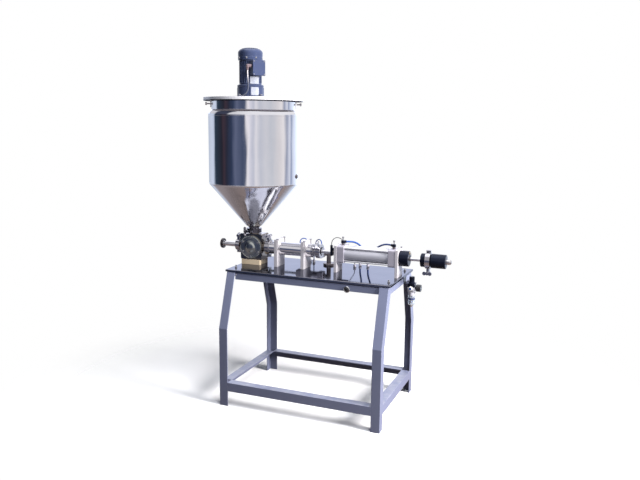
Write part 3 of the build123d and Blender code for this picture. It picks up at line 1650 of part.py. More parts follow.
with BuildPart() as regulator_knob:
    knob_foot = bonnet_top + free_gap
    knob_bore = bonnet_stem_r + running_fit
    stem_top = bonnet_top + bonnet_stem + free_gap
    add(
        turned_z(
            [
                (knob_bore, knob_foot),
                (knob_r, knob_foot),
                (knob_r, knob_foot + knob_height),
                (0, knob_foot + knob_height),
                (0, stem_top),
                (knob_bore, stem_top),
            ],
            regulator_x,
            regulator_y,
        )
    )
    fillet(regulator_knob.edges().filter_by(GeomType.CIRCLE).group_by(Axis.Z)[-1], knob_height / 8)
save(regulator_knob, "regulator_knob")

with BuildPart() as filter_bowl:
    bowl_top = regulator_body_top - regulator_body_height
    bowl_foot = bowl_top - bowl_height
    bowl_inner_r = bowl_r - bowl_wall
    add(
        turned_z(
            [
                (bowl_inner_r, bowl_top),
                (bowl_r, bowl_top),
                (bowl_r, bowl_foot + bowl_round),
                (bowl_r - bowl_round, bowl_foot),
                (drain_r, bowl_foot),
                (drain_r, bowl_foot - drain_height),
                (0, bowl_foot - drain_height),
                (0, bowl_foot + bowl_wall),
                (bowl_inner_r - bowl_round, bowl_foot + bowl_wall),
                (bowl_inner_r, bowl_foot + bowl_wall + bowl_round),
            ],
            regulator_x,
            regulator_y,
        )
    )
save(filter_bowl, "filter_bowl")

# Pressure gauge on the regulator, facing out from the end of the machine
gauge_x = regulator_x + regulator_size / 2 + gauge_stem
dial_x = gauge_x + gauge_depth - gauge_face_depth
pin_end_x = dial_x + needle_gap + needle_thickness
with BuildPart() as gauge_case:
    add(
        turned_x(
            [
                (regulator_x + regulator_size / 2, 0),
                (regulator_x + regulator_size / 2, gauge_stem_r),
                (gauge_x, gauge_stem_r),
                (gauge_x, gauge_r),
                (gauge_x + gauge_depth, gauge_r),
                (gauge_x + gauge_depth, gauge_r - gauge_rim),
                (dial_x, gauge_r - gauge_rim),
                (dial_x, needle_pin_r),
                (pin_end_x, needle_pin_r),
                (pin_end_x, 0),
            ],
            regulator_y,
            regulator_middle,
        )
    )
save(gauge_case, "gauge_case")

# The pointer rests at the low end of its scale, down and to the left as seen from the dial side
needle_plane = Plane(
    (dial_x + needle_gap, regulator_y, regulator_middle),
    x_dir=(0, -sin(radians(needle_rest)), -cos(radians(needle_rest))),
    z_dir=(1, 0, 0),
)
with BuildPart() as gauge_needle:
    with BuildSketch(needle_plane):
        with BuildLine():
            Polyline(
                (0, -needle_width / 2),
                (needle_length, -needle_width / 6),
                (needle_length, needle_width / 6),
                (0, needle_width / 2),
                close=True,
            )
        make_face()
        Circle(needle_hub_r)
        Circle(needle_pin_r + running_fit, mode=Mode.SUBTRACT)
    extrude(amount=needle_thickness)
save(gauge_needle, "gauge_needle")

# Air tubes and the sensor lead, on routes chosen by hand
bulkhead_z = table_z + bulkhead_height
front_in = bulkheads["front"]
rear_in = bulkheads["rear"]
rear_run = flow_exits["rear"].X - rear_in[0]
air_tube_front = tube(
    "air_tube_front",
    [
        tuple(flow_exits["front"]),
        tuple(flow_exits["front"] + flow_dirs["front"] * tube_straight),
        (front_in[0] + 15.5, 37, axis_z + 60),
        (front_in[0] + 29.5, 59, axis_z + 47),
        (front_in[0] + 35.5, 85, axis_z + 29),
        (front_in[0] + 32.5, 110, axis_z + 10),
        (front_in[0] + 25.5, 134, axis_z - 9),
        (front_in[0] + 15.4, front_in[1] - 21.7, axis_z - 29),
        (front_in[0] + 6.1, front_in[1] - 8.6, axis_z - 48),
        (front_in[0] + 1.6, front_in[1] - 2.2, axis_z - 61.6),
        (front_in[0], front_in[1], axis_z - 77),
        (front_in[0], front_in[1], bulkhead_z),
    ],
    drive_tube_d,
)
air_tube_front.label = "air_tube_front"
export_step(air_tube_front, "parts/air_tube_front.step")

air_tube_rear = tube(
    "air_tube_rear",
    [
        tuple(flow_exits["rear"]),
        tuple(flow_exits["rear"] + flow_dirs["rear"] * tube_straight),
        (rear_in[0] + 0.775 * rear_run, 36, axis_z + 62),
        (rear_in[0] + 0.65 * rear_run, 52, axis_z + 54),
        (rear_in[0] + 0.52 * rear_run, 70, axis_z + 41),
        (rear_in[0] + 0.39 * rear_run, 91, axis_z + 25),
        (rear_in[0] + 0.265 * rear_run, 114, axis_z + 5),
        (rear_in[0] + 0.15 * rear_run, 138, axis_z - 18),
        (rear_in[0] + 15.5, rear_in[1] - 21.5, axis_z - 33),
        (rear_in[0] + 5.1, rear_in[1] - 7.5, axis_z - 50),
        (rear_in[0] + 1.3, rear_in[1] - 1.9, axis_z - 62.7),
        (rear_in[0], rear_in[1], axis_z - 77),
        (rear_in[0], rear_in[1], bulkhead_z),
    ],
    drive_tube_d,
)
air_tube_rear.label = "air_tube_rear"
export_step(air_tube_rear, "parts/air_tube_rear.step")

connector_z = actuator_top + connector_height
left_in = bulkheads["left"]
right_in = bulkheads["right"]
actuator_tube_left = tube(
    "actuator_tube_left",
    [
        (connector_xs[0], actuator_y, connector_z),
        (connector_xs[0], actuator_y, actuator_top + 33),
        (connector_xs[0] + 7, actuator_y + 4, actuator_top + 45),
        (connector_xs[0] + 19, actuator_y + 10, actuator_top + 50),
        (connector_xs[0] + 32, actuator_y + 17, actuator_top + 45),
        (connector_xs[0] + 42, actuator_y + 24, actuator_top + 31),
        (connector_xs[0] + 46, actuator_y + 30, actuator_top + 8),
        (connector_xs[0] + 49, actuator_y + 35, actuator_top - 19),
        (left_in[0], left_in[1], actuator_top - 50),
        (left_in[0], left_in[1], bulkhead_z),
    ],
    actuator_tube_d,
)
actuator_tube_left.label = "actuator_tube_left"
export_step(actuator_tube_left, "parts/actuator_tube_left.step")

actuator_tube_right = tube(
    "actuator_tube_right",
    [
        (connector_xs[1], actuator_y, connector_z),
        (connector_xs[1], actuator_y, actuator_top + 33),
        (connector_xs[1] - 7, actuator_y + 4, actuator_top + 45),
        (connector_xs[1] - 19, actuator_y + 10, actuator_top + 50),
        (connector_xs[1] - 33, actuator_y + 16, actuator_top + 45),
        (connector_xs[1] - 45, actuator_y + 22, actuator_top + 32),
        (connector_xs[1] - 52, actuator_y + 28, actuator_top + 9),
        (connector_xs[1] - 59, actuator_y + 34, actuator_top - 18),
        (right_in[0], right_in[1], actuator_top - 50),
        (right_in[0], right_in[1], bulkhead_z),
    ],
    actuator_tube_d,
)
actuator_tube_right.label = "actuator_tube_right"
export_step(actuator_tube_right, "parts/actuator_tube_right.step")

sensor_in = bulkheads["sensor"]
sensor_lead = tube(
    "sensor_lead",
    [
        (sensor_x, -sensor_y, sensor_z),
        (sensor_x, -sensor_y, axis_z + 60),
        (sensor_x + 3.5, -37, axis_z + 75),
        (sensor_x + 12.5, -29, axis_z + 86),
        (sensor_x + 23.5, -16, axis_z + 89),
        (sensor_x + 31.5, 1, axis_z + 84),
        (sensor_x + 36.5, 20, axis_z + 75),
        (sensor_x + 40.5, 40, axis_z + 63),
        (sensor_x + 44.5, 58, axis_z + 45),
        (sensor_x + 47.5, 69, axis_z + 22),
        (sensor_x + 51.5, 79, axis_z - 1),
        (sensor_x + 57.5, 92, axis_z - 23),
        (sensor_x + 65.5, 108, axis_z - 41),
        (sensor_x + 72.5, 124, axis_z - 56),
        (sensor_in[0], sensor_in[1], axis_z - 71),
        (sensor_in[0], sensor_in[1], bulkhead_z),
    ],
    sensor_lead_d,
)
sensor_lead.label = "sensor_lead"
export_step(sensor_lead, "parts/sensor_lead.step")

# Motor lead from the terminal box down to the lid and round behind the motor
lead_z = lid_top + lead_d / 2 + seat_gap
coil_x = valve_x + coil_offset
coil_start_x = coil_x - coil_outer_r
lead_exit = elbow - Vector(0, 0, gland_fall + gland_taper)
motor_lead = tube(
    "motor_lead",
    [
        tuple(lead_exit),
        tuple(lead_exit - Vector(0, 0, lead_straight)),
        (motor_x + 34.5, -98, motor_top - 105),
        (motor_x + 36.5, -98, motor_top - 127),
        (motor_x + 38, -98, lid_top + 60),
        (motor_x + 35, -99, lid_top + 37),
        (motor_x + 24, -102, lid_top + 19),
        (motor_x + 7, -106, lid_top + 8.5),
        (motor_x - 13, -109, lead_z + 0.8),
        (motor_x - 34, -109, lead_z),
        (motor_x - 54, -102, lead_z),
        (valve_x - 96, -85, lead_z),
        (valve_x - 113, -60, lead_z),
        (valve_x - 122, -30, lead_z),
        (valve_x - 126, 3, lead_z),
        (valve_x - 126, 37, lead_z),
        (valve_x - 123, 71, lead_z),
        (valve_x - 118, 105, lead_z),
        (coil_start_x, coil_y - 40, lead_z),
        (coil_start_x, coil_y - lead_d, lead_z),
    ],
    lead_d,
)
motor_lead.label = "motor_lead"
export_step(motor_lead, "parts/motor_lead.step")

# Put-away length: two layers, spiralling in and, after a climb over half a turn, out again
coil_inner_r = coil_outer_r - coil_pitch * coil_turns
climb_start = 2 * pi * coil_turns
climb_end = climb_start + pi
coil_end = climb_end + 2 * pi * coil_turns


def coil_point(turn):
    # Place on the coil after turning clockwise by an angle from its left-hand side.
    rise = 0
    if turn < climb_start:
        radius = coil_outer_r - coil_pitch * turn / (2 * pi)
    elif turn < climb_end:
        part_way = (turn - climb_start) / pi
        radius = coil_inner_r - coil_pitch / 2 * part_way * (1 - part_way)
        rise = coil_layer * (part_way - sin(2 * pi * part_way) / (2 * pi))
    else:
        radius = coil_inner_r + coil_pitch * (turn - climb_end) / (2 * pi)
        rise = coil_layer
    return Vector(coil_x - radius * cos(turn), coil_y + radius * sin(turn), lead_z + rise)


quarter = pi / 2
step_count = round(coil_end / quarter)
knots = [coil_point(k * quarter) for k in range(step_count + 1)]
nudge = 0.001
headings = [coil_point(k * quarter + nudge) - coil_point(k * quarter - nudge) for k in range(step_count + 1)]
headings = [heading.normalized() for heading in headings]
headings[0] = Vector(0, 1, 0)
headings[-1] = Vector(sin(coil_end), cos(coil_end), 0)
with BuildPart() as lead_coil:
    with BuildLine() as coil_route:
        Line(knots[0] - headings[0] * lead_d, knots[0])
        for k in range(step_count):
            middle, middle_dir = biarc_middle(knots[k], headings[k], knots[k + 1], headings[k + 1])
            TangentArc(knots[k], middle, tangent=headings[k])
            TangentArc(middle, knots[k + 1], tangent=middle_dir)
        Line(knots[-1], knots[-1] + headings[-1] * coil_end_run)
    with BuildSketch(Plane(origin=coil_route.line @ 0, z_dir=coil_route.line % 0)):
        Circle(lead_d / 2)
    sweep()
save(lead_coil, "lead_coil")
coil_path = coil_route.wire()
coil_length = coil_path.length
coil_volume = coil_length * pi * lead_d**2 / 4
coil_ratio = lead_coil.part.volume / coil_volume
print("lead_coil length", round(coil_length, 1), "volume ratio", round(coil_ratio, 4))
sample_count = 600
samples = [coil_path @ (k / sample_count) for k in range(sample_count + 1)]
skip = round(sample_count * 3 * lead_d / coil_length)
gaps = [(a - b).length for i, a in enumerate(samples) for b in samples[i + skip :]]
print("lead_coil least gap to itself", round(min(gaps) - lead_d, 2))

plug_plane = Plane(knots[-1] + headings[-1] * coil_end_run, x_dir=(1, 0, 0), z_dir=headings[-1])
with BuildPart(plug_plane) as lead_plug:
    boot = (Align.CENTER, Align.CENTER, Align.MIN)
    Cone(plug_boot_r, plug_r, plug_boot_length, align=boot)
    with Locations((0, 0, plug_boot_length)):
        Cylinder(plug_r, plug_length - plug_boot_length, align=boot)
    with Locations((0, 0, plug_length)):
        with GridLocations(2 * plug_pin_spread, 0, 2, 1):
            Cylinder(plug_pin_r, plug_pin_length, align=boot)
save(lead_plug, "lead_plug")
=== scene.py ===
import math

import bmesh
import bpy
from mathutils import Matrix, Vector


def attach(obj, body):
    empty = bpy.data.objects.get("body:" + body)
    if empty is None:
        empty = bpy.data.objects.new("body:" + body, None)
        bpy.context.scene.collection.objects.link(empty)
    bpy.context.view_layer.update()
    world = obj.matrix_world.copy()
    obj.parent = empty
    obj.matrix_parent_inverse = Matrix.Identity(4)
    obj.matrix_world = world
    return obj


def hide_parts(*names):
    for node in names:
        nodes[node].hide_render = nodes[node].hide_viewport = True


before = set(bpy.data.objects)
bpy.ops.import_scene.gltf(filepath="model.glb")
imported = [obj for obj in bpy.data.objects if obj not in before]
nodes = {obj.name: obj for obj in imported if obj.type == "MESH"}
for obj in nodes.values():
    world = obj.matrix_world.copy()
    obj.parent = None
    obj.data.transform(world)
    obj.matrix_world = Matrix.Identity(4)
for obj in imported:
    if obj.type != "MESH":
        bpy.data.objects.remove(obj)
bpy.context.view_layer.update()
scene = bpy.context.scene
unit = 0.001  # the dictionaries below are in millimetres, heights in finishes in metres
print("stage: frame loaded")

# camera, as solved from the photograph's frame
shot = {
    "place": (1405.77, -3567.20, 1588.19), "yaw": 0.3815, "pitch": 0.1696, "roll": 0.0117,
    "focal": 695.22, "frameWidth": 640, "sensor": 36, "farthest": 100,
}
sight = Vector((
    -math.sin(shot["yaw"]) * math.cos(shot["pitch"]),
    math.cos(shot["yaw"]) * math.cos(shot["pitch"]),
    -math.sin(shot["pitch"]),
))
level = Vector((math.cos(shot["yaw"]), math.sin(shot["yaw"]), 0))
upright = level.cross(sight)
across = math.cos(shot["roll"]) * level + math.sin(shot["roll"]) * upright
raised = math.cos(shot["roll"]) * upright - math.sin(shot["roll"]) * level
lensData = bpy.data.cameras.new("photoCamera")
lensData.sensor_width = shot["sensor"]
lensData.lens = shot["focal"] * shot["sensor"] / shot["frameWidth"]
lensData.clip_end = shot["farthest"]
camera = bpy.data.objects.new("photoCamera", lensData)
scene.collection.objects.link(camera)
turnToSight = Matrix((across, raised, -sight)).transposed().to_4x4()
camera.matrix_world = Matrix.Translation(Vector(shot["place"]) * unit) @ turnToSight
scene.camera = camera
scene.view_settings.view_transform = "Standard"
print("stage: camera")


# node helpers
def addNode(tree, kind, settings=(), **values):
    node = tree.nodes.new("ShaderNode" + kind)
    for key, value in dict(settings).items():
        setattr(node, key, value)
    for key, value in values.items():
        node.inputs[key.replace("_", " ")].default_value = value
    return node


def wire(tree, *links):
    # each link is a node, its output, the next node and its input
    for source, output, target, entry in links:
        tree.links.new(source.outputs[output], target.inputs[entry])


def feed(tree, source, node, entry, output=0):
    # puts a socket into a node and hands on what comes out
    tree.links.new(source, node.inputs[entry])
    return node.outputs[output]


def addMath(tree, operation, first, second):
    node = addNode(tree, "Math", {"operation": operation})
    for socket, value in zip(node.inputs, (first, second)):
        tree.links.new(value, socket)
    return node.outputs["Value"]


def blendColour(tree, mask, first, second):
    mix = addNode(tree, "Mix", {"data_type": "RGBA"})
    tree.links.new(mask, mix.inputs["Factor"])
    for socket, value in ((mix.inputs[6], first), (mix.inputs[7], second)):
        if isinstance(value, tuple):
            socket.default_value = (*value, 1)
        else:
            tree.links.new(value, socket)
    return mix.outputs[2]


def newGroup(name, takes, gives, kind="Float"):
    # takes has each input's first value, None for a vector
    group = bpy.data.node_groups.new(name, "ShaderNodeTree")
    for label, value in takes.items():
        socketType = "NodeSocketVector" if value is None else "NodeSocketFloat"
        socket = group.interface.new_socket(label, in_out="INPUT", socket_type=socketType)
        if value is not None:
            socket.default_value = value
    group.interface.new_socket(gives, in_out="OUTPUT", socket_type="NodeSocket" + kind)
    return group, group.nodes.new("NodeGroupInput"), group.nodes.new("NodeGroupOutput")


def useGroup(tree, group, vector, **values):
    node = addNode(tree, "Group", {"node_tree": group}, **values)
    return feed(tree, vector, node, "Vector")


# soft cloudy drift, 0 to 1
driftGroup, inSide, outSide = newGroup("cloudDrift", {"Vector": None, "Scale": 4.0, "Detail": 4.0}, "Mask")
cloud = addNode(driftGroup, "TexNoise", Roughness=0.55)
spread = addNode(driftGroup, "MapRange", From_Min=0.3, From_Max=0.7)
wire(driftGroup,
     (inSide, "Vector", cloud, "Vector"), (inSide, "Scale", cloud, "Scale"),
     (inSide, "Detail", cloud, "Detail"), (cloud, "Fac", spread, "Value"),
     (spread, "Result", outSide, "Mask"))

# rubbed edges: where a rounded normal leaves the face's own normal
rubGroup, inSide, outSide = newGroup("rubbedEdges", {"Vector": None, "Width": 0.002}, "Mask")
rounded = addNode(rubGroup, "Bevel", {"samples": 4})
surface = addNode(rubGroup, "NewGeometry")
compare = addNode(rubGroup, "VectorMath", {"operation": "DOT_PRODUCT"})
sharpness = addNode(rubGroup, "MapRange", From_Min=0.99, From_Max=0.86)
specks = addNode(rubGroup, "TexNoise", Scale=90.0, Detail=3.0)
speckRange = addNode(rubGroup, "MapRange", From_Min=0.42, From_Max=0.62)
product = addNode(rubGroup, "Math", {"operation": "MULTIPLY"})
wire(rubGroup,
     (inSide, "Width", rounded, "Radius"), (rounded, "Normal", compare, 0), (surface, "Normal", compare, 1),
     (compare, "Value", sharpness, "Value"), (inSide, "Vector", specks, "Vector"),
     (specks, "Fac", speckRange, "Value"), (sharpness, "Result", product, 0),
     (speckRange, "Result", product, 1), (product, "Value", outSide, "Mask"))

# dust that settles on faces turned upwards
dustGroup, inSide, outSide = newGroup("settledDust", {"Vector": None, "Amount": 0.2}, "Mask")
facing = addNode(dustGroup, "NewGeometry")
split = addNode(dustGroup, "SeparateXYZ")
upwards = addNode(dustGroup, "MapRange", From_Min=0.5, From_Max=1.0)
patches = addNode(dustGroup, "TexNoise", Scale=14.0, Detail=6.0, Roughness=0.7)
patchRange = addNode(dustGroup, "MapRange", From_Min=0.4, From_Max=0.75)
settle = addNode(dustGroup, "Math", {"operation": "MULTIPLY"})
amount = addNode(dustGroup, "Math", {"operation": "MULTIPLY"})
wire(dustGroup,
     (facing, "Normal", split, "Vector"), (split, "Z", upwards, "Value"),
     (inSide, "Vector", patches, "Vector"), (patches, "Fac", patchRange, "Value"),
     (upwards, "Result", settle, 0), (patchRange, "Result", settle, 1),
     (settle, "Value", amount, 0), (inSide, "Amount", amount, 1), (amount, "Value", outSide, "Mask"))

# lines left by a lathe tool on a face turned about Y
turnGroup, inSide, outSide = newGroup(
    "turnedLines", {"Vector": None, "Centre": None, "Slope": 0.2}, "Normal", "Vector")
offset = addNode(turnGroup, "VectorMath", {"operation": "SUBTRACT"})
flatten = addNode(turnGroup, "VectorMath", {"operation": "MULTIPLY"})
flatten.inputs[1].default_value = (1, 0, 1)
radius = addNode(turnGroup, "VectorMath", {"operation": "LENGTH"})
outward = addNode(turnGroup, "VectorMath", {"operation": "NORMALIZE"})
toolMarks = addNode(turnGroup, "TexNoise", {"noise_dimensions": "1D"}, Scale=700.0, Detail=1.0)
tiltRange = addNode(turnGroup, "MapRange", From_Min=0.25, From_Max=0.75, To_Min=-1.0, To_Max=1.0)
steep = addNode(turnGroup, "Math", {"operation": "MULTIPLY"})
lean = addNode(turnGroup, "VectorMath", {"operation": "SCALE"})
turnedFace = addNode(turnGroup, "NewGeometry")
leaning = addNode(turnGroup, "VectorMath", {"operation": "ADD"})
evened = addNode(turnGroup, "VectorMath", {"operation": "NORMALIZE"})
wire(turnGroup,
     (inSide, "Vector", offset, 0), (inSide, "Centre", offset, 1), (offset, "Vector", flatten, 0),
     (flatten, "Vector", radius, 0), (flatten, "Vector", outward, 0), (radius, "Value", toolMarks, "W"),
     (toolMarks, "Fac", tiltRange, "Value"), (tiltRange, "Result", steep, 0), (inSide, "Slope", steep, 1),
     (outward, "Vector", lean, 0), (steep, "Value", lean, "Scale"), (lean, "Vector", leaning, 0),
     (turnedFace, "Normal", leaning, 1), (leaning, "Vector", evened, 0),
     (evened, "Vector", outSide, "Normal"))


def makeFinish(name, look):
    # tone: darker and lighter colour. lower: heights and another pair of tones, painted light and shade below
    # the height. rub, dust: size and colour.
    # rough: least and most. grain: scale, strength and depth. lines: the grain's stretch. drift: cloud scale.
    # dents: stretch, scale and depth. turned: centre and slope. round: width of softened edges.
    finish = bpy.data.materials.new(name)
    finish.use_nodes = True
    tree = finish.node_tree
    shader = tree.nodes["Principled BSDF"]
    place = addNode(tree, "TexCoord").outputs["Object"]
    drift = useGroup(tree, driftGroup, place, Scale=look.get("drift", 6.0), Detail=5.0)
    colour = blendColour(tree, drift, *look["tone"])
    # painted shading: below the given height the colour turns to another tone that stands in for light and
    # shade
    if "lower" in look:
        low, high, paintedShadingTone = look["lower"]
        height = feed(tree, place, addNode(tree, "SeparateXYZ"), "Vector", "Z")
        below = feed(tree, height, addNode(tree, "MapRange", From_Min=high, From_Max=low), "Value")
        colour = blendColour(tree, below, colour, blendColour(tree, drift, *paintedShadingTone))
    for key, group, entry in (("rub", rubGroup, "Width"), ("dust", dustGroup, "Amount")):
        if key in look:
            size, cover = look[key]
            colour = blendColour(tree, useGroup(tree, group, place, **{entry: size}), colour, cover)
    tree.links.new(colour, shader.inputs["Base Color"])
    shader.inputs["Metallic"].default_value = look.get("metal", 0.0)
    fine = place
    if "lines" in look:
        fine = feed(tree, place, addNode(tree, "Mapping", Scale=look["lines"]), "Vector")
    scale, strength, depth = look["grain"]
    grain = feed(tree, fine, addNode(tree, "TexNoise", Scale=scale, Detail=4.0, Roughness=0.6), "Vector")
    least, most = look["rough"]
    gloss = addNode(tree, "MapRange", From_Min=0.6, From_Max=1.4, To_Min=least, To_Max=most)
    tree.links.new(feed(tree, addMath(tree, "ADD", grain, drift), gloss, "Value"), shader.inputs["Roughness"])
    bump = addNode(tree, "Bump", Strength=strength, Distance=depth)
    tree.links.new(grain, bump.inputs["Height"])
    if "dents" in look:  # slow waves of a rolled sheet
        stretch, scale, depth = look["dents"]
        slow = feed(tree, place, addNode(tree, "Mapping", Scale=stretch), "Vector")
        wave = feed(tree, slow, addNode(tree, "TexNoise", Scale=scale, Detail=2.0), "Vector")
        waved = feed(tree, wave, addNode(tree, "Bump", Strength=1.0, Distance=depth), "Height")
        tree.links.new(waved, bump.inputs["Normal"])
    if "turned" in look:  # lathe lines about a centre
        centre, slope = look["turned"]
        lathed = useGroup(tree, turnGroup, place, Centre=centre, Slope=slope)
        tree.links.new(lathed, bump.inputs["Normal"])
    if "round" in look:  # softens the edges of a CAD solid
        edge = addNode(tree, "Bevel", {"samples": 4}, Radius=look["round"])
        wire(tree, (edge, "Normal", bump, "Normal"))
    wire(tree, (bump, "Normal", shader, "Normal"))
    for socket, value in look.get("shader", {}).items():
        shader.inputs[socket].default_value = value
    return finish


paleDust = (0.55, 0.53, 0.52)
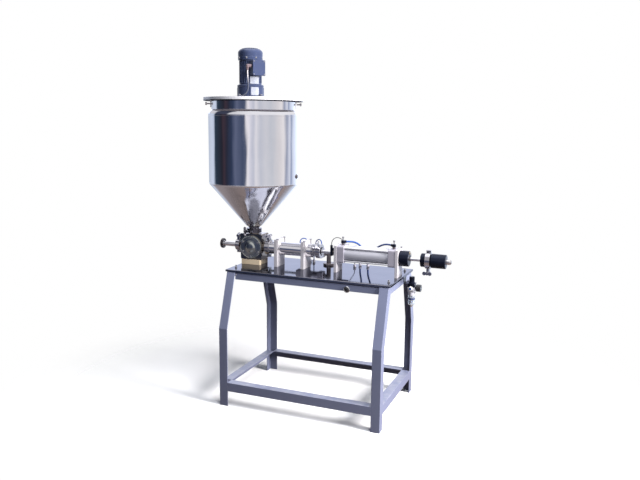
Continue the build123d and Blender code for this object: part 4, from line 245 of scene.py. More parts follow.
# each finish has the record's slot name and its look
looks = {
    "framePaint": {
        "slot": "frame_paint", "tone": ((0.146, 0.162, 0.248), (0.169, 0.187, 0.279)), "rough": (0.34, 0.5),
        "drift": 3.0, "grain": (420.0, 0.10, 0.0006), "rub": (0.0025, (0.36, 0.38, 0.48)),
        "dust": (0.35, paleDust), "shader": {"Coat Weight": 0.12, "Coat Roughness": 0.25},
    },
    "tableSteel": {
        "slot": "table_steel", "tone": ((0.275, 0.275, 0.315), (0.325, 0.325, 0.365)), "metal": 1.0,
        "rough": (0.03, 0.11), "drift": 9.0, "lines": (2, 60, 2), "grain": (40.0, 0.03, 0.0004),
        "shader": {"Specular Tint": (0.60, 0.62, 0.66, 1)},
    },
    "hopperSteel": {
        "slot": "hopper_steel", "tone": ((0.78, 0.79, 0.83), (0.86, 0.87, 0.90)), "metal": 1.0,
        "rough": (0.04, 0.12), "drift": 5.0, "lines": (1, 1, 45), "grain": (26.0, 0.035, 0.0005),
        "dents": ((1, 1, 0.25), 9.0, 0.0035),
    },
    # the lid below 1.7095 m, its skirt and lugs, is painted much lighter than its top: painted light on the
    # rim
    "lidSteel": {
        "slot": "lid_steel", "tone": ((0.44, 0.42, 0.43), (0.52, 0.50, 0.51)),
        "lower": (1.7095, 1.7115, ((0.84, 0.83, 0.85), (0.92, 0.91, 0.93))), "metal": 0.35,
        "rough": (0.26, 0.40), "drift": 6.0, "grain": (160.0, 0.05, 0.0004),
    },
    "stirrerSteel": {
        "slot": "stirrer_steel", "tone": ((0.58, 0.58, 0.60), (0.68, 0.68, 0.69)), "metal": 1.0,
        "rough": (0.2, 0.38), "lines": (1, 1, 30), "grain": (60.0, 0.06, 0.0004), "round": 0.0015,
    },
    # tone darker and warmer than chrome: a painted dark reflection of the surroundings
    "valveChrome": {
        "slot": "valve_chrome", "tone": ((0.225, 0.20, 0.185), (0.31, 0.28, 0.26)), "metal": 1.0,
        "rough": (0.05, 0.12), "drift": 12.0, "grain": (220.0, 0.03, 0.0003), "round": 0.0012,
    },
    "turnedChrome": {
        "slot": "valve_chrome", "tone": ((0.40, 0.43, 0.41), (0.50, 0.52, 0.49)), "metal": 1.0,
        "rough": (0.08, 0.16), "drift": 12.0, "grain": (220.0, 0.03, 0.0003),
        "turned": ((-0.4385, 0, 0.866), 0.19),
    },
    # tone near black: a painted dark reflection on the chrome flange
    "flangeChrome": {
        "slot": "valve_chrome", "tone": ((0.05, 0.045, 0.05), (0.09, 0.08, 0.085)), "metal": 1.0,
        "rough": (0.06, 0.14), "drift": 16.0, "grain": (220.0, 0.03, 0.0003),
        "rub": (0.002, (0.60, 0.58, 0.60)),
    },
    "barrelChrome": {
        "slot": "barrel_chrome", "tone": ((0.80, 0.79, 0.82), (0.88, 0.87, 0.89)), "metal": 1.0,
        "rough": (0.06, 0.14), "drift": 9.0, "lines": (40, 1, 1), "grain": (30.0, 0.03, 0.0003),
        "round": 0.001,
    },
    # above about 0.94 m the clamp steel is painted nearly black, a painted dark reflection; below it the
    # lighter steel tone
    "clampSteel": {
        "slot": "clamp_steel", "tone": ((0.06, 0.055, 0.07), (0.13, 0.12, 0.14)),
        "lower": (0.938, 0.946, ((0.40, 0.39, 0.42), (0.56, 0.55, 0.57))), "metal": 1.0,
        "rough": (0.10, 0.24), "drift": 24.0, "grain": (300.0, 0.16, 0.0004), "round": 0.001,
        "rub": (0.0015, (0.80, 0.79, 0.79)),
    },
    # above about 0.94 m the wing nuts are painted nearly black, painted shade; below it their light lavender
    # grey
    "wingGrey": {
        "slot": "wing_grey", "tone": ((0.05, 0.048, 0.06), (0.09, 0.085, 0.10)),
        "lower": (0.936, 0.946, ((0.48, 0.47, 0.54), (0.56, 0.55, 0.62))), "metal": 0.3, "rough": (0.36, 0.5),
        "drift": 30.0, "grain": (350.0, 0.12, 0.0004), "round": 0.0012, "rub": (0.0012, (0.74, 0.73, 0.77)),
    },
    "baseCream": {
        "slot": "base_cream", "tone": ((0.60, 0.48, 0.33), (0.70, 0.58, 0.41)), "rough": (0.38, 0.55),
        "drift": 14.0, "lines": (30, 1, 1), "grain": (30.0, 0.06, 0.0004), "round": 0.0015,
    },
    "satinAluminium": {
        "slot": "satin_aluminium", "tone": ((0.58, 0.55, 0.58), (0.66, 0.63, 0.65)), "metal": 0.4,
        "rough": (0.30, 0.46), "drift": 10.0, "lines": (1, 1, 40), "grain": (40.0, 0.06, 0.0004),
        "round": 0.0012, "rub": (0.0012, (0.88, 0.86, 0.86)),
    },
    "capAluminium": {
        "slot": "cap_aluminium", "tone": ((0.38, 0.36, 0.42), (0.46, 0.44, 0.50)), "metal": 0.4,
        "rough": (0.36, 0.5), "drift": 14.0, "grain": (600.0, 0.16, 0.0003),
        "rub": (0.0015, (0.70, 0.69, 0.70)),
    },
    "barrelAluminium": {
        "slot": "barrel_aluminium", "tone": ((0.48, 0.48, 0.54), (0.56, 0.56, 0.61)), "metal": 0.4,
        "rough": (0.30, 0.44), "drift": 8.0, "lines": (1, 60, 60), "grain": (30.0, 0.05, 0.0003),
    },
    "rodChrome": {
        "slot": "rod_chrome", "tone": ((0.80, 0.80, 0.82), (0.88, 0.88, 0.89)), "metal": 1.0,
        "rough": (0.04, 0.10), "drift": 16.0, "lines": (60, 1, 1), "grain": (30.0, 0.02, 0.0002),
        "round": 0.0008,
    },
    "screwSteel": {
        "slot": "screw_steel", "tone": ((0.60, 0.59, 0.60), (0.74, 0.73, 0.73)), "metal": 1.0,
        "rough": (0.2, 0.34), "drift": 60.0, "grain": (400.0, 0.08, 0.0003), "round": 0.0008,
    },
    "postSteel": {
        "slot": "post_steel", "tone": ((0.17, 0.15, 0.16), (0.25, 0.22, 0.22)), "metal": 0.9,
        "rough": (0.22, 0.36), "drift": 20.0, "lines": (1, 1, 30), "grain": (50.0, 0.06, 0.0003),
        "round": 0.001,
    },
    "blackPlastic": {
        "slot": "black_plastic", "tone": ((0.003, 0.004, 0.008), (0.007, 0.008, 0.016)),
        "rough": (0.16, 0.28), "drift": 18.0, "grain": (700.0, 0.10, 0.0003), "round": 0.001,
        "rub": (0.001, (0.04, 0.04, 0.05)),
        "shader": {"Specular IOR Level": 0.2, "Specular Tint": (0.62, 0.72, 1.0, 1)},
    },
    "glandPlastic": {
        "slot": "black_plastic", "tone": ((0.10, 0.075, 0.085), (0.15, 0.11, 0.12)), "rough": (0.35, 0.5),
        "drift": 30.0, "grain": (600.0, 0.08, 0.0002),
    },
    "sealWhite": {
        "slot": "seal_white", "tone": ((0.66, 0.65, 0.62), (0.74, 0.73, 0.70)), "rough": (0.4, 0.55),
        "drift": 20.0, "grain": (300.0, 0.05, 0.0003), "round": 0.001,
    },
    "motorPaint": {
        "slot": "motor_paint", "tone": ((0.028, 0.038, 0.082), (0.037, 0.049, 0.101)), "rough": (0.26, 0.4),
        "drift": 8.0, "grain": (380.0, 0.16, 0.0006), "rub": (0.0016, (0.12, 0.14, 0.22)),
        "dust": (0.12, paleDust),
        "shader": {"Coat Weight": 0.1, "Coat Roughness": 0.18, "Specular IOR Level": 0.3},
    },
    "rotorSteel": {
        "slot": "rotor_steel", "tone": ((0.26, 0.26, 0.27), (0.36, 0.36, 0.37)), "metal": 0.9,
        "rough": (0.3, 0.45), "grain": (200.0, 0.08, 0.0003),
    },
    "tubeBlue": {
        "slot": "tube_blue", "tone": ((0.011, 0.046, 0.205), (0.018, 0.062, 0.250)), "rough": (0.2, 0.32),
        "drift": 30.0, "grain": (500.0, 0.04, 0.0002), "shader": {"Coat Weight": 0.3, "Coat Roughness": 0.1},
    },
    "leadBlack": {
        "slot": "lead_black", "tone": ((0.012, 0.012, 0.013), (0.020, 0.020, 0.022)), "rough": (0.36, 0.5),
        "drift": 40.0, "grain": (700.0, 0.1, 0.0002),
    },
    # the grey lead is painted dark below about 1.8 m: painted shade along the motor and on the lid
    "leadGrey": {
        "slot": "lead_grey", "tone": ((0.42, 0.40, 0.41), (0.50, 0.48, 0.49)), "rough": (0.42, 0.58),
        "drift": 30.0, "grain": (700.0, 0.1, 0.0002),
        "lower": (1.79, 1.83, ((0.064, 0.068, 0.092), (0.076, 0.082, 0.108))),
    },
    "fittingBrass": {
        "slot": "fitting_brass", "tone": ((0.62, 0.50, 0.32), (0.72, 0.60, 0.40)), "metal": 1.0,
        "rough": (0.18, 0.3), "drift": 50.0, "grain": (300.0, 0.06, 0.0002), "round": 0.0006,
    },
    "gaugeBlack": {
        "slot": "gauge_black", "tone": ((0.014, 0.014, 0.016), (0.024, 0.024, 0.027)), "rough": (0.24, 0.36),
        "drift": 40.0, "grain": (600.0, 0.1, 0.0002),
    },
    "dialWhite": {
        "slot": "seal_white", "tone": ((0.78, 0.78, 0.76), (0.84, 0.84, 0.82)), "rough": (0.45, 0.55),
        "drift": 60.0, "grain": (500.0, 0.03, 0.0002),
    },
    "dialMark": {
        "slot": "gauge_black", "tone": ((0.02, 0.02, 0.022), (0.03, 0.03, 0.032)), "rough": (0.5, 0.6),
        "drift": 60.0, "grain": (500.0, 0.03, 0.0002),
    },
    "needleRed": {
        "slot": "needle_red", "tone": ((0.45, 0.03, 0.02), (0.55, 0.04, 0.03)), "rough": (0.35, 0.45),
        "drift": 60.0, "grain": (500.0, 0.03, 0.0002),
    },
    "ringChrome": {
        "slot": "rod_chrome", "tone": ((0.72, 0.73, 0.74), (0.82, 0.83, 0.84)), "metal": 1.0,
        "rough": (0.06, 0.14), "drift": 40.0, "grain": (400.0, 0.03, 0.0002),
    },
    "buttonBlack": {
        "slot": "button_black", "tone": ((0.010, 0.010, 0.012), (0.016, 0.016, 0.018)), "rough": (0.06, 0.14),
        "drift": 40.0, "grain": (500.0, 0.03, 0.0002), "shader": {"Coat Weight": 0.6, "Coat Roughness": 0.05},
    },
    "platePale": {
        "slot": "satin_aluminium", "tone": ((0.30, 0.32, 0.38), (0.40, 0.42, 0.48)), "metal": 0.3,
        "rough": (0.28, 0.42), "drift": 30.0, "lines": (1, 1, 40), "grain": (60.0, 0.06, 0.0002),
        "rub": (0.0008, (0.50, 0.50, 0.52)),
    },
    "bandBlue": {
        "slot": "black_plastic", "tone": ((0.010, 0.020, 0.085), (0.016, 0.030, 0.115)), "rough": (0.26, 0.4),
        "drift": 40.0, "grain": (600.0, 0.08, 0.0002),
    },
    "bowlClear": {
        "slot": "bowl_clear", "tone": ((0.82, 0.87, 0.93), (0.88, 0.92, 0.96)), "rough": (0.06, 0.14),
        "drift": 30.0, "grain": (300.0, 0.03, 0.0002), "shader": {"Transmission Weight": 0.86, "IOR": 1.49},
    },
    "lensClear": {
        "slot": "bowl_clear", "tone": ((0.94, 0.95, 0.96), (0.97, 0.98, 0.98)), "rough": (0.02, 0.06),
        "drift": 40.0, "grain": (300.0, 0.01, 0.0002), "shader": {"Transmission Weight": 1.0, "IOR": 1.3},
    },
}
finishes = {name: makeFinish(name, look) for name, look in looks.items()}
print("stage: finishes")


# shapes
def at(x, y, z):
    return Matrix.Translation(Vector((x, y, z)) * unit)


def around(degrees):
    return Matrix.Rotation(math.radians(degrees), 4, "Z")


towardsX = Matrix.Rotation(math.pi / 2, 4, "Y")  # turns +Z to +X
towardsFront = Matrix.Rotation(math.pi / 2, 4, "X")  # turns +Z to -Y
towardsBack = Matrix.Rotation(-math.pi / 2, 4, "X")
alongX = Matrix(((0, 0, 1, 0), (1, 0, 0, 0), (0, 1, 0, 0), (0, 0, 0, 1)))  # outline in YZ, pushed along X
alongY = Matrix(((1, 0, 0, 0), (0, 0, 1, 0), (0, 1, 0, 0), (0, 0, 0, 1)))  # outline in XZ, pushed along Y
sides = (-1, 1)


def soften(shape, width, segments=2, limit=0.5):
    if width:
        sharp = [e for e in shape.edges if e.is_manifold and e.calc_face_angle(0) > limit]
        bmesh.ops.bevel(
            shape, geom=sharp, offset=width * unit, offset_type="OFFSET", affect="EDGES",
            segments=segments, profile=0.5, material=-1, clamp_overlap=True,
        )
    return shape


def tidy(shape):
    bmesh.ops.remove_doubles(shape, verts=shape.verts, dist=1e-6)
    bmesh.ops.recalc_face_normals(shape, faces=shape.faces)
    return shape


def turned(profile, steps=64, soft=0):
    # (radius, height) corners spun about Z; a profile clear of the axis is closed to a ring
    shape = bmesh.new()
    corners = [shape.verts.new((r * unit, 0, h * unit)) for r, h in profile]
    pairs = list(zip(corners, corners[1:]))
    if profile[0][0] > 0 and profile[-1][0] > 0:
        pairs.append((corners[-1], corners[0]))
    rim = [shape.edges.new(pair) for pair in pairs]
    bmesh.ops.spin(
        shape, geom=corners + rim, cent=(0, 0, 0), axis=(0, 0, 1), dvec=(0, 0, 0), angle=2 * math.pi,
        steps=steps, use_merge=True,
    )
    return soften(tidy(shape), soft)


def slab(x, y, z, soft=0, segments=2):
    shape = bmesh.new()
    bmesh.ops.create_cube(shape, size=1)
    bmesh.ops.scale(shape, vec=Vector((x, y, z)) * unit, verts=shape.verts)
    return soften(shape, soft, segments)


def pushUp(shape, faces, height, soft):
    pushed = bmesh.ops.extrude_face_region(shape, geom=faces)
    moved = [v for v in pushed["geom"] if isinstance(v, bmesh.types.BMVert)]
    bmesh.ops.translate(shape, vec=(0, 0, height * unit), verts=moved)
    return soften(tidy(shape), soft)


def prism(outline, height, soft=0):
    shape = bmesh.new()
    face = shape.faces.new([shape.verts.new((x * unit, y * unit, 0)) for x, y in outline])
    return pushUp(shape, [face], height, soft)


def edgeLoop(shape, points):
    return [shape.edges.new(pair) for pair in zip(points, points[1:] + points[:1])]


def pierced(outer, inner, height, soft=0):
    # plate between two loops of equally many points
    shape = bmesh.new()
    rims = []
    for loop in (outer, inner):
        rims += edgeLoop(shape, [shape.verts.new((x * unit, y * unit, 0)) for x, y in loop])
    plate = bmesh.ops.bridge_loops(shape, edges=rims)
    return pushUp(shape, plate["faces"], height, soft)


def loft(shape, rings):
    # skin between rings of equally many points, closed at both ends
    loops = [edgeLoop(shape, ring) for ring in rings]
    for low, high in zip(loops, loops[1:]):
        bmesh.ops.bridge_loops(shape, edges=low + high)
    for ring in (rings[0], rings[-1]):
        shape.faces.new(ring)
    bmesh.ops.recalc_face_normals(shape, faces=shape.faces)
    return shape


def circle(radius, count):
    turns = [2 * math.pi * k / count for k in range(count)]
    return [(radius * math.cos(turn), radius * math.sin(turn)) for turn in turns]


def boxLoop(left, right, low, high, count, corner=0):
    # points of a rectangle round the origin, one for each of count rays, with the corners among them
    rays = [2 * math.pi * k / count for k in range(count)]
    for x, y in ((right, high), (left, high), (left, low), (right, low)):
        ray = math.atan2(y, x) % (2 * math.pi)
        nearest = min(range(count), key=lambda k: abs(rays[k] - ray))
        rays[nearest] = ray
    loop = []
    for ray in rays:
        c, s = math.cos(ray), math.sin(ray)
        reach = min(
            (right if c > 0 else left) / c if abs(c) > 1e-9 else 1e9,
            (high if s > 0 else low) / s if abs(s) > 1e-9 else 1e9,
        )
        x, y = reach * c, reach * s
        if corner:  # rounded corners
            for cx, cy in ((right - corner, high - corner), (left + corner, high - corner),
                           (left + corner, low + corner), (right - corner, low + corner)):
                if abs(x) > abs(cx) and abs(y) > abs(cy) and x * cx > 0 and y * cy > 0:
                    away = Vector((x - cx, y - cy)).normalized() * corner
                    x, y = cx + away.x, cy + away.y
        loop.append((x, y))
    return loop


def thicken(shape, upward, wall):
    # gives an open skin its thickness, on the side away from its outer face
    bmesh.ops.recalc_face_normals(shape, faces=shape.faces)
    if upward(shape).normal.z < 0:
        bmesh.ops.reverse_faces(shape, faces=shape.faces)
    bmesh.ops.solidify(shape, geom=list(shape.faces), thickness=wall * unit)
    bmesh.ops.recalc_face_normals(shape, faces=shape.faces)
    return shape


def addPiece(name, data, body, finish, stands=()):
    data.materials.append(finishes[finish])
    piece = bpy.data.objects.new(name, data)
    scene.collection.objects.link(piece)
    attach(piece, body)
    if stands:
        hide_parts(*stands)
    return piece


def makePiece(name, shapes, body, finish, stands=(), slotName=None, sharp=35):
    # shapes are (shape, place) pairs; stands names the CAD nodes that the piece replaces
    whole = bmesh.new()
    for shape, place in shapes:
        mesh = bpy.data.meshes.new("passing")
        shape.to_mesh(mesh)
        shape.free()
        mesh.transform(place)
        if place.determinant() < 0:
            mesh.flip_normals()
        whole.from_mesh(mesh)
        bpy.data.meshes.remove(mesh)
    mesh = bpy.data.meshes.new(name)
    whole.to_mesh(mesh)
    whole.free()
    mesh.shade_smooth()
    mesh.set_sharp_from_angle(angle=math.radians(sharp))
    piece = addPiece(name, mesh, body, finish, stands)
    even = piece.modifiers.new("evenNormals", "WEIGHTED_NORMAL")  # flat faces stay flat beside soft edges
    even.keep_sharp = True
    return piece


def lathe(name, profile, steps, place, body, finish, stands=(), soft=0, **more):
    return makePiece(name, [(turned(profile, steps, soft), place)], body, finish, stands, **more)


# cords
def layCord(name, route, thick, body, finish, stands):
    curve = bpy.data.curves.new(name, "CURVE")
    curve.dimensions = "3D"
    curve.bevel_depth = thick / 2 * unit
    curve.bevel_resolution = 5
    curve.resolution_u = 10
    curve.use_fill_caps = True
    spline = curve.splines.new("NURBS")
    spline.points.add(len(route) - 1)
    for point, place in zip(spline.points, route):
        point.co = (*(Vector(place) * unit), 1)
    spline.order_u = 3
    spline.use_endpoint_u = True
    return addPiece(name, curve, body, finish, stands)


tubes = {
    "airTubeFront": {
        "stands": "air_tube_front", "finish": "tubeBlue",
        "thick": 10, "length": 0.2717, "stiffness": "medium",
        "route": [
            (129.82, 10, 931), (150.61, 22, 931), (170, 37, 926), (184, 59, 913), (190, 85, 895),
            (187, 110, 876), (180, 134, 857), (169.9, 158.8, 837), (160.6, 171.9, 818), (156.1, 178.3, 804.4),
            (154.5, 180.5, 789), (154.5, 180.5, 779)]},
    "airTubeRear": {
        "stands": "air_tube_rear", "finish": "tubeBlue",
        "thick": 10, "length": 0.3117, "stiffness": "medium",
        "route": [
            (387.18, 10, 931), (366.39, 22, 931), (345.85, 36, 928), (322.9, 52, 920), (299, 70, 907),
            (275.1, 91, 891), (252.2, 114, 871), (231.05, 138, 848), (219, 154, 833), (208.6, 168, 816),
            (204.8, 173.6, 803.3), (203.5, 175.5, 789), (203.5, 175.5, 779)]},
    "actuatorTubeLeft": {
        "stands": "actuator_tube_left", "finish": "tubeBlue",
        "thick": 6, "length": 0.1859, "stiffness": "limp",
        "route": [
            (-203.5, 130, 878), (-203.5, 130, 891), (-196.5, 134, 903), (-184.5, 140, 908),
            (-171.5, 147, 903), (-161.5, 154, 889), (-157.5, 160, 866), (-154.5, 165, 839),
            (-153.5, 168, 808), (-153.5, 168, 779)]},
    "actuatorTubeRight": {
        "stands": "actuator_tube_right", "finish": "tubeBlue",
        "thick": 6, "length": 0.1894, "stiffness": "limp",
        "route": [
            (-66.5, 130, 878), (-66.5, 130, 891), (-73.5, 134, 903), (-85.5, 140, 908),
            (-99.5, 146, 903), (-111.5, 152, 890), (-118.5, 158, 867), (-125.5, 164, 840),
            (-129.5, 168, 808), (-129.5, 168, 779)]},
    "sensorLead": {
        "stands": "sensor_lead", "finish": "leadBlack",
        "thick": 4, "length": 0.3099, "stiffness": "medium",
        "route": [
            (60, -40, 914), (60, -40, 926), (63.5, -37, 941), (72.5, -29, 952), (83.5, -16, 955),
            (91.5, 1, 950), (96.5, 20, 941), (100.5, 40, 929), (104.5, 58, 911), (107.5, 69, 888),
            (111.5, 79, 865), (117.5, 92, 843), (125.5, 108, 825), (132.5, 124, 810), (137.5, 134, 795),
            (137.5, 134, 779)]},
}
for name, tube in tubes.items():
    cord = layCord(name, tube["route"], tube["thick"], "frame", tube["finish"], [tube["stands"]])

# motor lead down to the lid, round behind the motor and into its coil
coil = {
    "x": -508.5, "y": 178, "z": 1715.6, "outer": 46, "pitch": 8, "layer": 8, "lowTurns": 2, "turns": 4.5,
    "steps": 20, "ties": (60, 240), "tieReach": 38, "tieRise": 5, "tieStretch": 1.72,
}
supply = {"thick": 7, "length": 1.5818}


def coilPoint(turn):
    # inwards on the lid, up a layer, and outwards again
    inner = coil["outer"] - coil["pitch"] * coil["lowTurns"]
    climb = 2 * math.pi * coil["lowTurns"]
    rise = 0
    if turn < climb:
        reach = coil["outer"] - coil["pitch"] * turn / (2 * math.pi)
    elif turn < climb + math.pi:
        share = (turn - climb) / math.pi
        reach = inner - coil["pitch"] / 2 * share * (1 - share)
        rise = coil["layer"] * (share - math.sin(2 * math.pi * share) / (2 * math.pi))
    else:
        reach = inner + coil["pitch"] * (turn - climb - math.pi) / (2 * math.pi)
        rise = coil["layer"]
    return (coil["x"] - reach * math.cos(turn), coil["y"] + reach * math.sin(turn), coil["z"] + rise)


motorRoute = [
    (-424.75, -98.08, 1858), (-424.75, -98.08, 1838), (-423, -98, 1815), (-421, -98, 1793),
    (-419.5, -98, 1772), (-422.5, -99, 1749), (-433.5, -102, 1731), (-450.5, -106, 1720.5),
    (-470.5, -109, 1716.4)]
motorRoute += [(x, y, coil["z"]) for x, y in (
    (-491.5, -109), (-511.5, -102), (-534.5, -85), (-551.5, -60), (-560.5, -30), (-564.5, 3), (-564.5, 37),
    (-561.5, 71), (-556.5, 105), (-554.5, 138), (-554.5, 164))]
coilSteps = round(coil["steps"] * coil["turns"])
motorRoute += [coilPoint(2 * math.pi * k / coil["steps"]) for k in range(coilSteps + 1)]
motorRoute += [(-462.5, 167, 1723.6), (-462.5, 156, 1723.6)]
motorLead = layCord("motorLead", motorRoute, supply["thick"], "lid", "leadGrey", ["motor_lead", "lead_coil"])

# plug: a tapered ribbed boot, a rounded body and two pins
plug = {"place": motorRoute[-1], "boot": 24, "ribs": 5, "spread": 6}
bootProfile = [(0, 0), (4.6, 0), (5, 1)]
for k in range(plug["ribs"]):
    low = 2.5 + 4.2 * k
    grow = 5 + 5.2 * low / plug["boot"]
    bootProfile += [(grow, low), (grow - 1.2, low + 0.6), (grow - 1.2, low + 1.8), (grow + 0.6, low + 2.4)]
bootProfile += [(10.4, 24), (11, 25), (11, 49), (9.6, 52), (0, 52)]
pinProfile = [(0, 50), (2.4, 50), (2.4, 70), (1.4, 71), (0, 71)]
plugPlace = at(*plug["place"]) @ towardsFront
leadPlug = makePiece("leadPlug", [
    (turned(bootProfile, 40, 0.25), plugPlace),
    (slab(6, 20.4, 18, 2.5, 3), plugPlace @ at(0, 0, 37)),
], "lid", "leadGrey", ["lead_plug"])
plugPins = makePiece("plugPins", [
    (turned(pinProfile, 20), plugPlace @ at(side * plug["spread"], 0, 0)) for side in sides
], "lid", "ringChrome")
# two soft ties round the coil's turns
tieProfile = [(8.4, -4), (9.4, -4), (9.4, 4), (8.4, 4)]
coilMiddle = at(coil["x"], coil["y"], coil["z"] + coil["tieRise"])
tieTurn = towardsFront @ Matrix.Diagonal((coil["tieStretch"], 1, 1, 1))
coilTies = makePiece("coilTies", [
    (turned(tieProfile, 28, 0.2), coilMiddle @ around(turn) @ at(coil["tieReach"], 0, 0) @ tieTurn)
    for turn in coil["ties"]
], "lid", "leadBlack")
print("stage: cords")

# frame of angle iron; the front left corner, turned over to the other three
iron = {
    "x": -23.5, "half": 470, "top": 223, "foot": 323, "height": 760, "knee": 447, "leg": 50, "wall": 5,
    "low": 138, "soft": 0.9, "legSoft": 1.1,
}
tilt = math.atan2(iron["foot"] - iron["top"], iron["height"] - iron["knee"])
framePlace = at(iron["x"], 0, 0)
turnsX = (Matrix.Identity(4), Matrix.Diagonal((-1, 1, 1, 1)))
turnsY = (Matrix.Identity(4), Matrix.Diagonal((1, -1, 1, 1)))
quarters = [framePlace @ turnX @ turnY for turnX in turnsX for turnY in turnsY]


def bentLeg():
    # an L section at foot, knee and top
    leg, wall = iron["leg"], iron["wall"]
    section = ((0, 0), (leg, 0), (leg, wall), (wall, wall), (wall, leg), (0, leg))
    shape = bmesh.new()
    rings = []
    for outer, z, drop, grow in (
        (-iron["foot"], 0, 0, 1),
        (-iron["foot"], iron["knee"], math.tan(tilt / 2), 1),
        (-iron["top"], iron["height"], 0, 1 / math.cos(tilt)),
    ):
        spots = [Vector((x, outer + depth * grow, z - depth * drop)) for x, depth in section]
        rings.append([shape.verts.new(spot * unit) for spot in spots])
    return soften(loft(shape, rings), iron["legSoft"], limit=0.2)


makePiece("frameLegs", [
    (bentLeg(), quarter @ at(-iron["half"], 0, 0)) for quarter in quarters
], "frame", "framePaint", ["frame_legs"])


def angleRail(length):
    # upright flange at 0, flat flange on top
    leg, wall = iron["leg"], iron["wall"]
    outline = [(0, -leg), (0, 0), (leg, 0), (leg, -wall), (wall, -wall), (wall, -leg)]
    return prism(outline, length, iron["soft"])


sideTop = iron["top"] - iron["leg"] / math.cos(tilt)
sideLow = sideTop + iron["leg"] * math.tan(tilt)
sideOutline = [(-sideTop, 0), (sideTop, 0), (sideLow, -iron["leg"]), (-sideLow, -iron["leg"])]
railHalf = iron["half"] - iron["leg"]
railShapes = []
for turnY in turnsY:
    spot = at(-railHalf, -iron["top"], iron["height"])
    railShapes.append((angleRail(2 * railHalf), framePlace @ turnY @ spot @ alongX))
for turnX in turnsX:
    spot = at(-iron["half"], 0, iron["height"])
    railShapes.append((prism(sideOutline, iron["wall"], iron["soft"]), framePlace @ turnX @ spot @ alongX))
    flange = slab(iron["leg"] - 1, 2 * sideTop, iron["wall"] - 0.2, 0.7)
    spot = at(-iron["half"] + iron["leg"] / 2 + 0.5, 0, iron["height"] - iron["wall"] / 2)
    railShapes.append((flange, framePlace @ turnX @ spot))
makePiece("upperRails", railShapes, "frame", "framePaint", ["upper_rails"])

lowSide = iron["foot"] - iron["leg"]
lowShapes = []
for turnY in turnsY:
    spot = at(-railHalf, -iron["foot"], iron["low"])
    lowShapes.append((angleRail(2 * railHalf), framePlace @ turnY @ spot @ alongX))
for turnX in turnsX:
    spot = at(-iron["half"], -lowSide, iron["low"])
    lowShapes.append((angleRail(2 * lowSide), framePlace @ turnX @ spot @ alongY))
makePiece("lowerRails", lowShapes, "frame", "framePaint", ["lower_rails"])


def beadLine(start, end, thick, seed):
    # a weld bead: short overlapping ripples along a line
    start, end = Vector(start), Vector(end)
    run = end - start
    count = max(4, int(run.length / (thick * 1.1)))
    rings = []
    shape = bmesh.new()
    turn = run.normalized().to_track_quat("Z", "Y").to_matrix().to_4x4()
    for k in range(2 * count + 1):
        swell = thick * (1.0 if k % 2 else 0.74) * (1 + 0.1 * math.sin(seed + 2.3 * k))
        if k in (0, 2 * count):
            swell = thick * 0.3
        spot = start + run * (k / (2 * count))
        rings.append([
            shape.verts.new((turn @ Vector((x, y, 0)) + spot) * unit) for x, y in circle(swell, 8)])
    return loft(shape, rings)


beads = []
for quarter in quarters:
    foot, low, knee = -iron["foot"] + 0.3, iron["low"], iron["knee"]
    left, inner = -iron["half"], -iron["half"] + iron["leg"]
    for start, end, thick, seed in (
        ((inner, foot + 2, low - 48), (inner, foot + 2, low - 2), 1.5, 1),
        ((left + 2, -lowSide, low - 48), (left + 2, -lowSide, low - 2), 1.5, 2),
        ((left + 3, foot + 1.2, knee), (inner - 2, foot + 1.2, knee), 1.2, 3),
        ((inner, foot + 3, low + 0.4), (inner, foot + 48, low + 0.4), 1.3, 4),
    ):
        beads.append((beadLine(start, end, thick, seed), quarter))
makePiece("frameWelds", beads, "frame", "framePaint", sharp=60)

# table: a folded sheet, open below
table = {"x": -23.5, "length": 960, "width": 456, "top": 763, "lip": 11, "wall": 2.5, "fold": 2.8}
tray = slab(table["length"], table["width"], table["lip"])
bmesh.ops.delete(tray, geom=[f for f in tray.faces if f.normal.z < -0.9], context="FACES_ONLY")
folds = [e for e in tray.edges if len(e.link_faces) == 2]
bmesh.ops.bevel(tray, geom=folds, offset=table["fold"] * unit, offset_type="OFFSET", affect="EDGES",
                segments=5, profile=0.5, material=-1)
thicken(tray, lambda shape: max(shape.faces, key=lambda f: f.calc_area()), table["wall"])
makePiece("tableTop", [(tray, at(table["x"], 0, table["top"] - table["lip"] / 2))],
          "frame", "tableSteel", ["table_top"], sharp=50)
print("stage: frame and table")

# hopper: vessel, jacket and the polished weld beads at knee, shoulder and rim
hopper = {"x": -438.5, "steps": 192, "sharp": 28}
hopperPlace = at(hopper["x"], 0, 0)
jacketProfile = [
    (236.1, 1645), (240.2, 1643.2), (245.6, 1638.6), (250.2, 1631.4), (253.3, 1623), (254.5, 1613.5),
    (254.5, 1239), (254.3, 1233.8), (253, 1229.4), (250.4, 1226.2), (46.2, 987), (40.3, 987), (42, 989),
    (45.6, 989.6), (252.4, 1232.4), (252.5, 1612), (250, 1623), (244, 1635.6), (236.1, 1641.5)]
lathe("hopperJacket", jacketProfile, hopper["steps"], hopperPlace, "frame", "hopperSteel", ["hopper_jacket"],
      sharp=hopper["sharp"])
vesselProfile = [
    (25.5, 959), (36, 959), (36, 964), (28, 964), (28, 972), (236, 1231), (236, 1709), (233.5, 1709),
    (233.5, 1231.6), (25.5, 974)]
lathe("hopperVessel", vesselProfile, hopper["steps"], hopperPlace, "frame", "hopperSteel", ["hopper_vessel"],
      soft=0.5, sharp=hopper["sharp"])
seams = []
for reach, z, thick in ((254.6, 1236.5, 0.9), (236.6, 1645.4, 1.1), (254.7, 1611, 0.6)):
    ring = [(reach + x, z + y) for x, y in circle(thick, 8)]
    seams.append((turned(ring, hopper["steps"]), hopperPlace))
seams.append((beadLine((0, 254.4, 1240), (0, 254.4, 1608), 0.9, 5), hopperPlace))
makePiece("hopperSeams", seams, "frame", "hopperSteel", sharp=60)

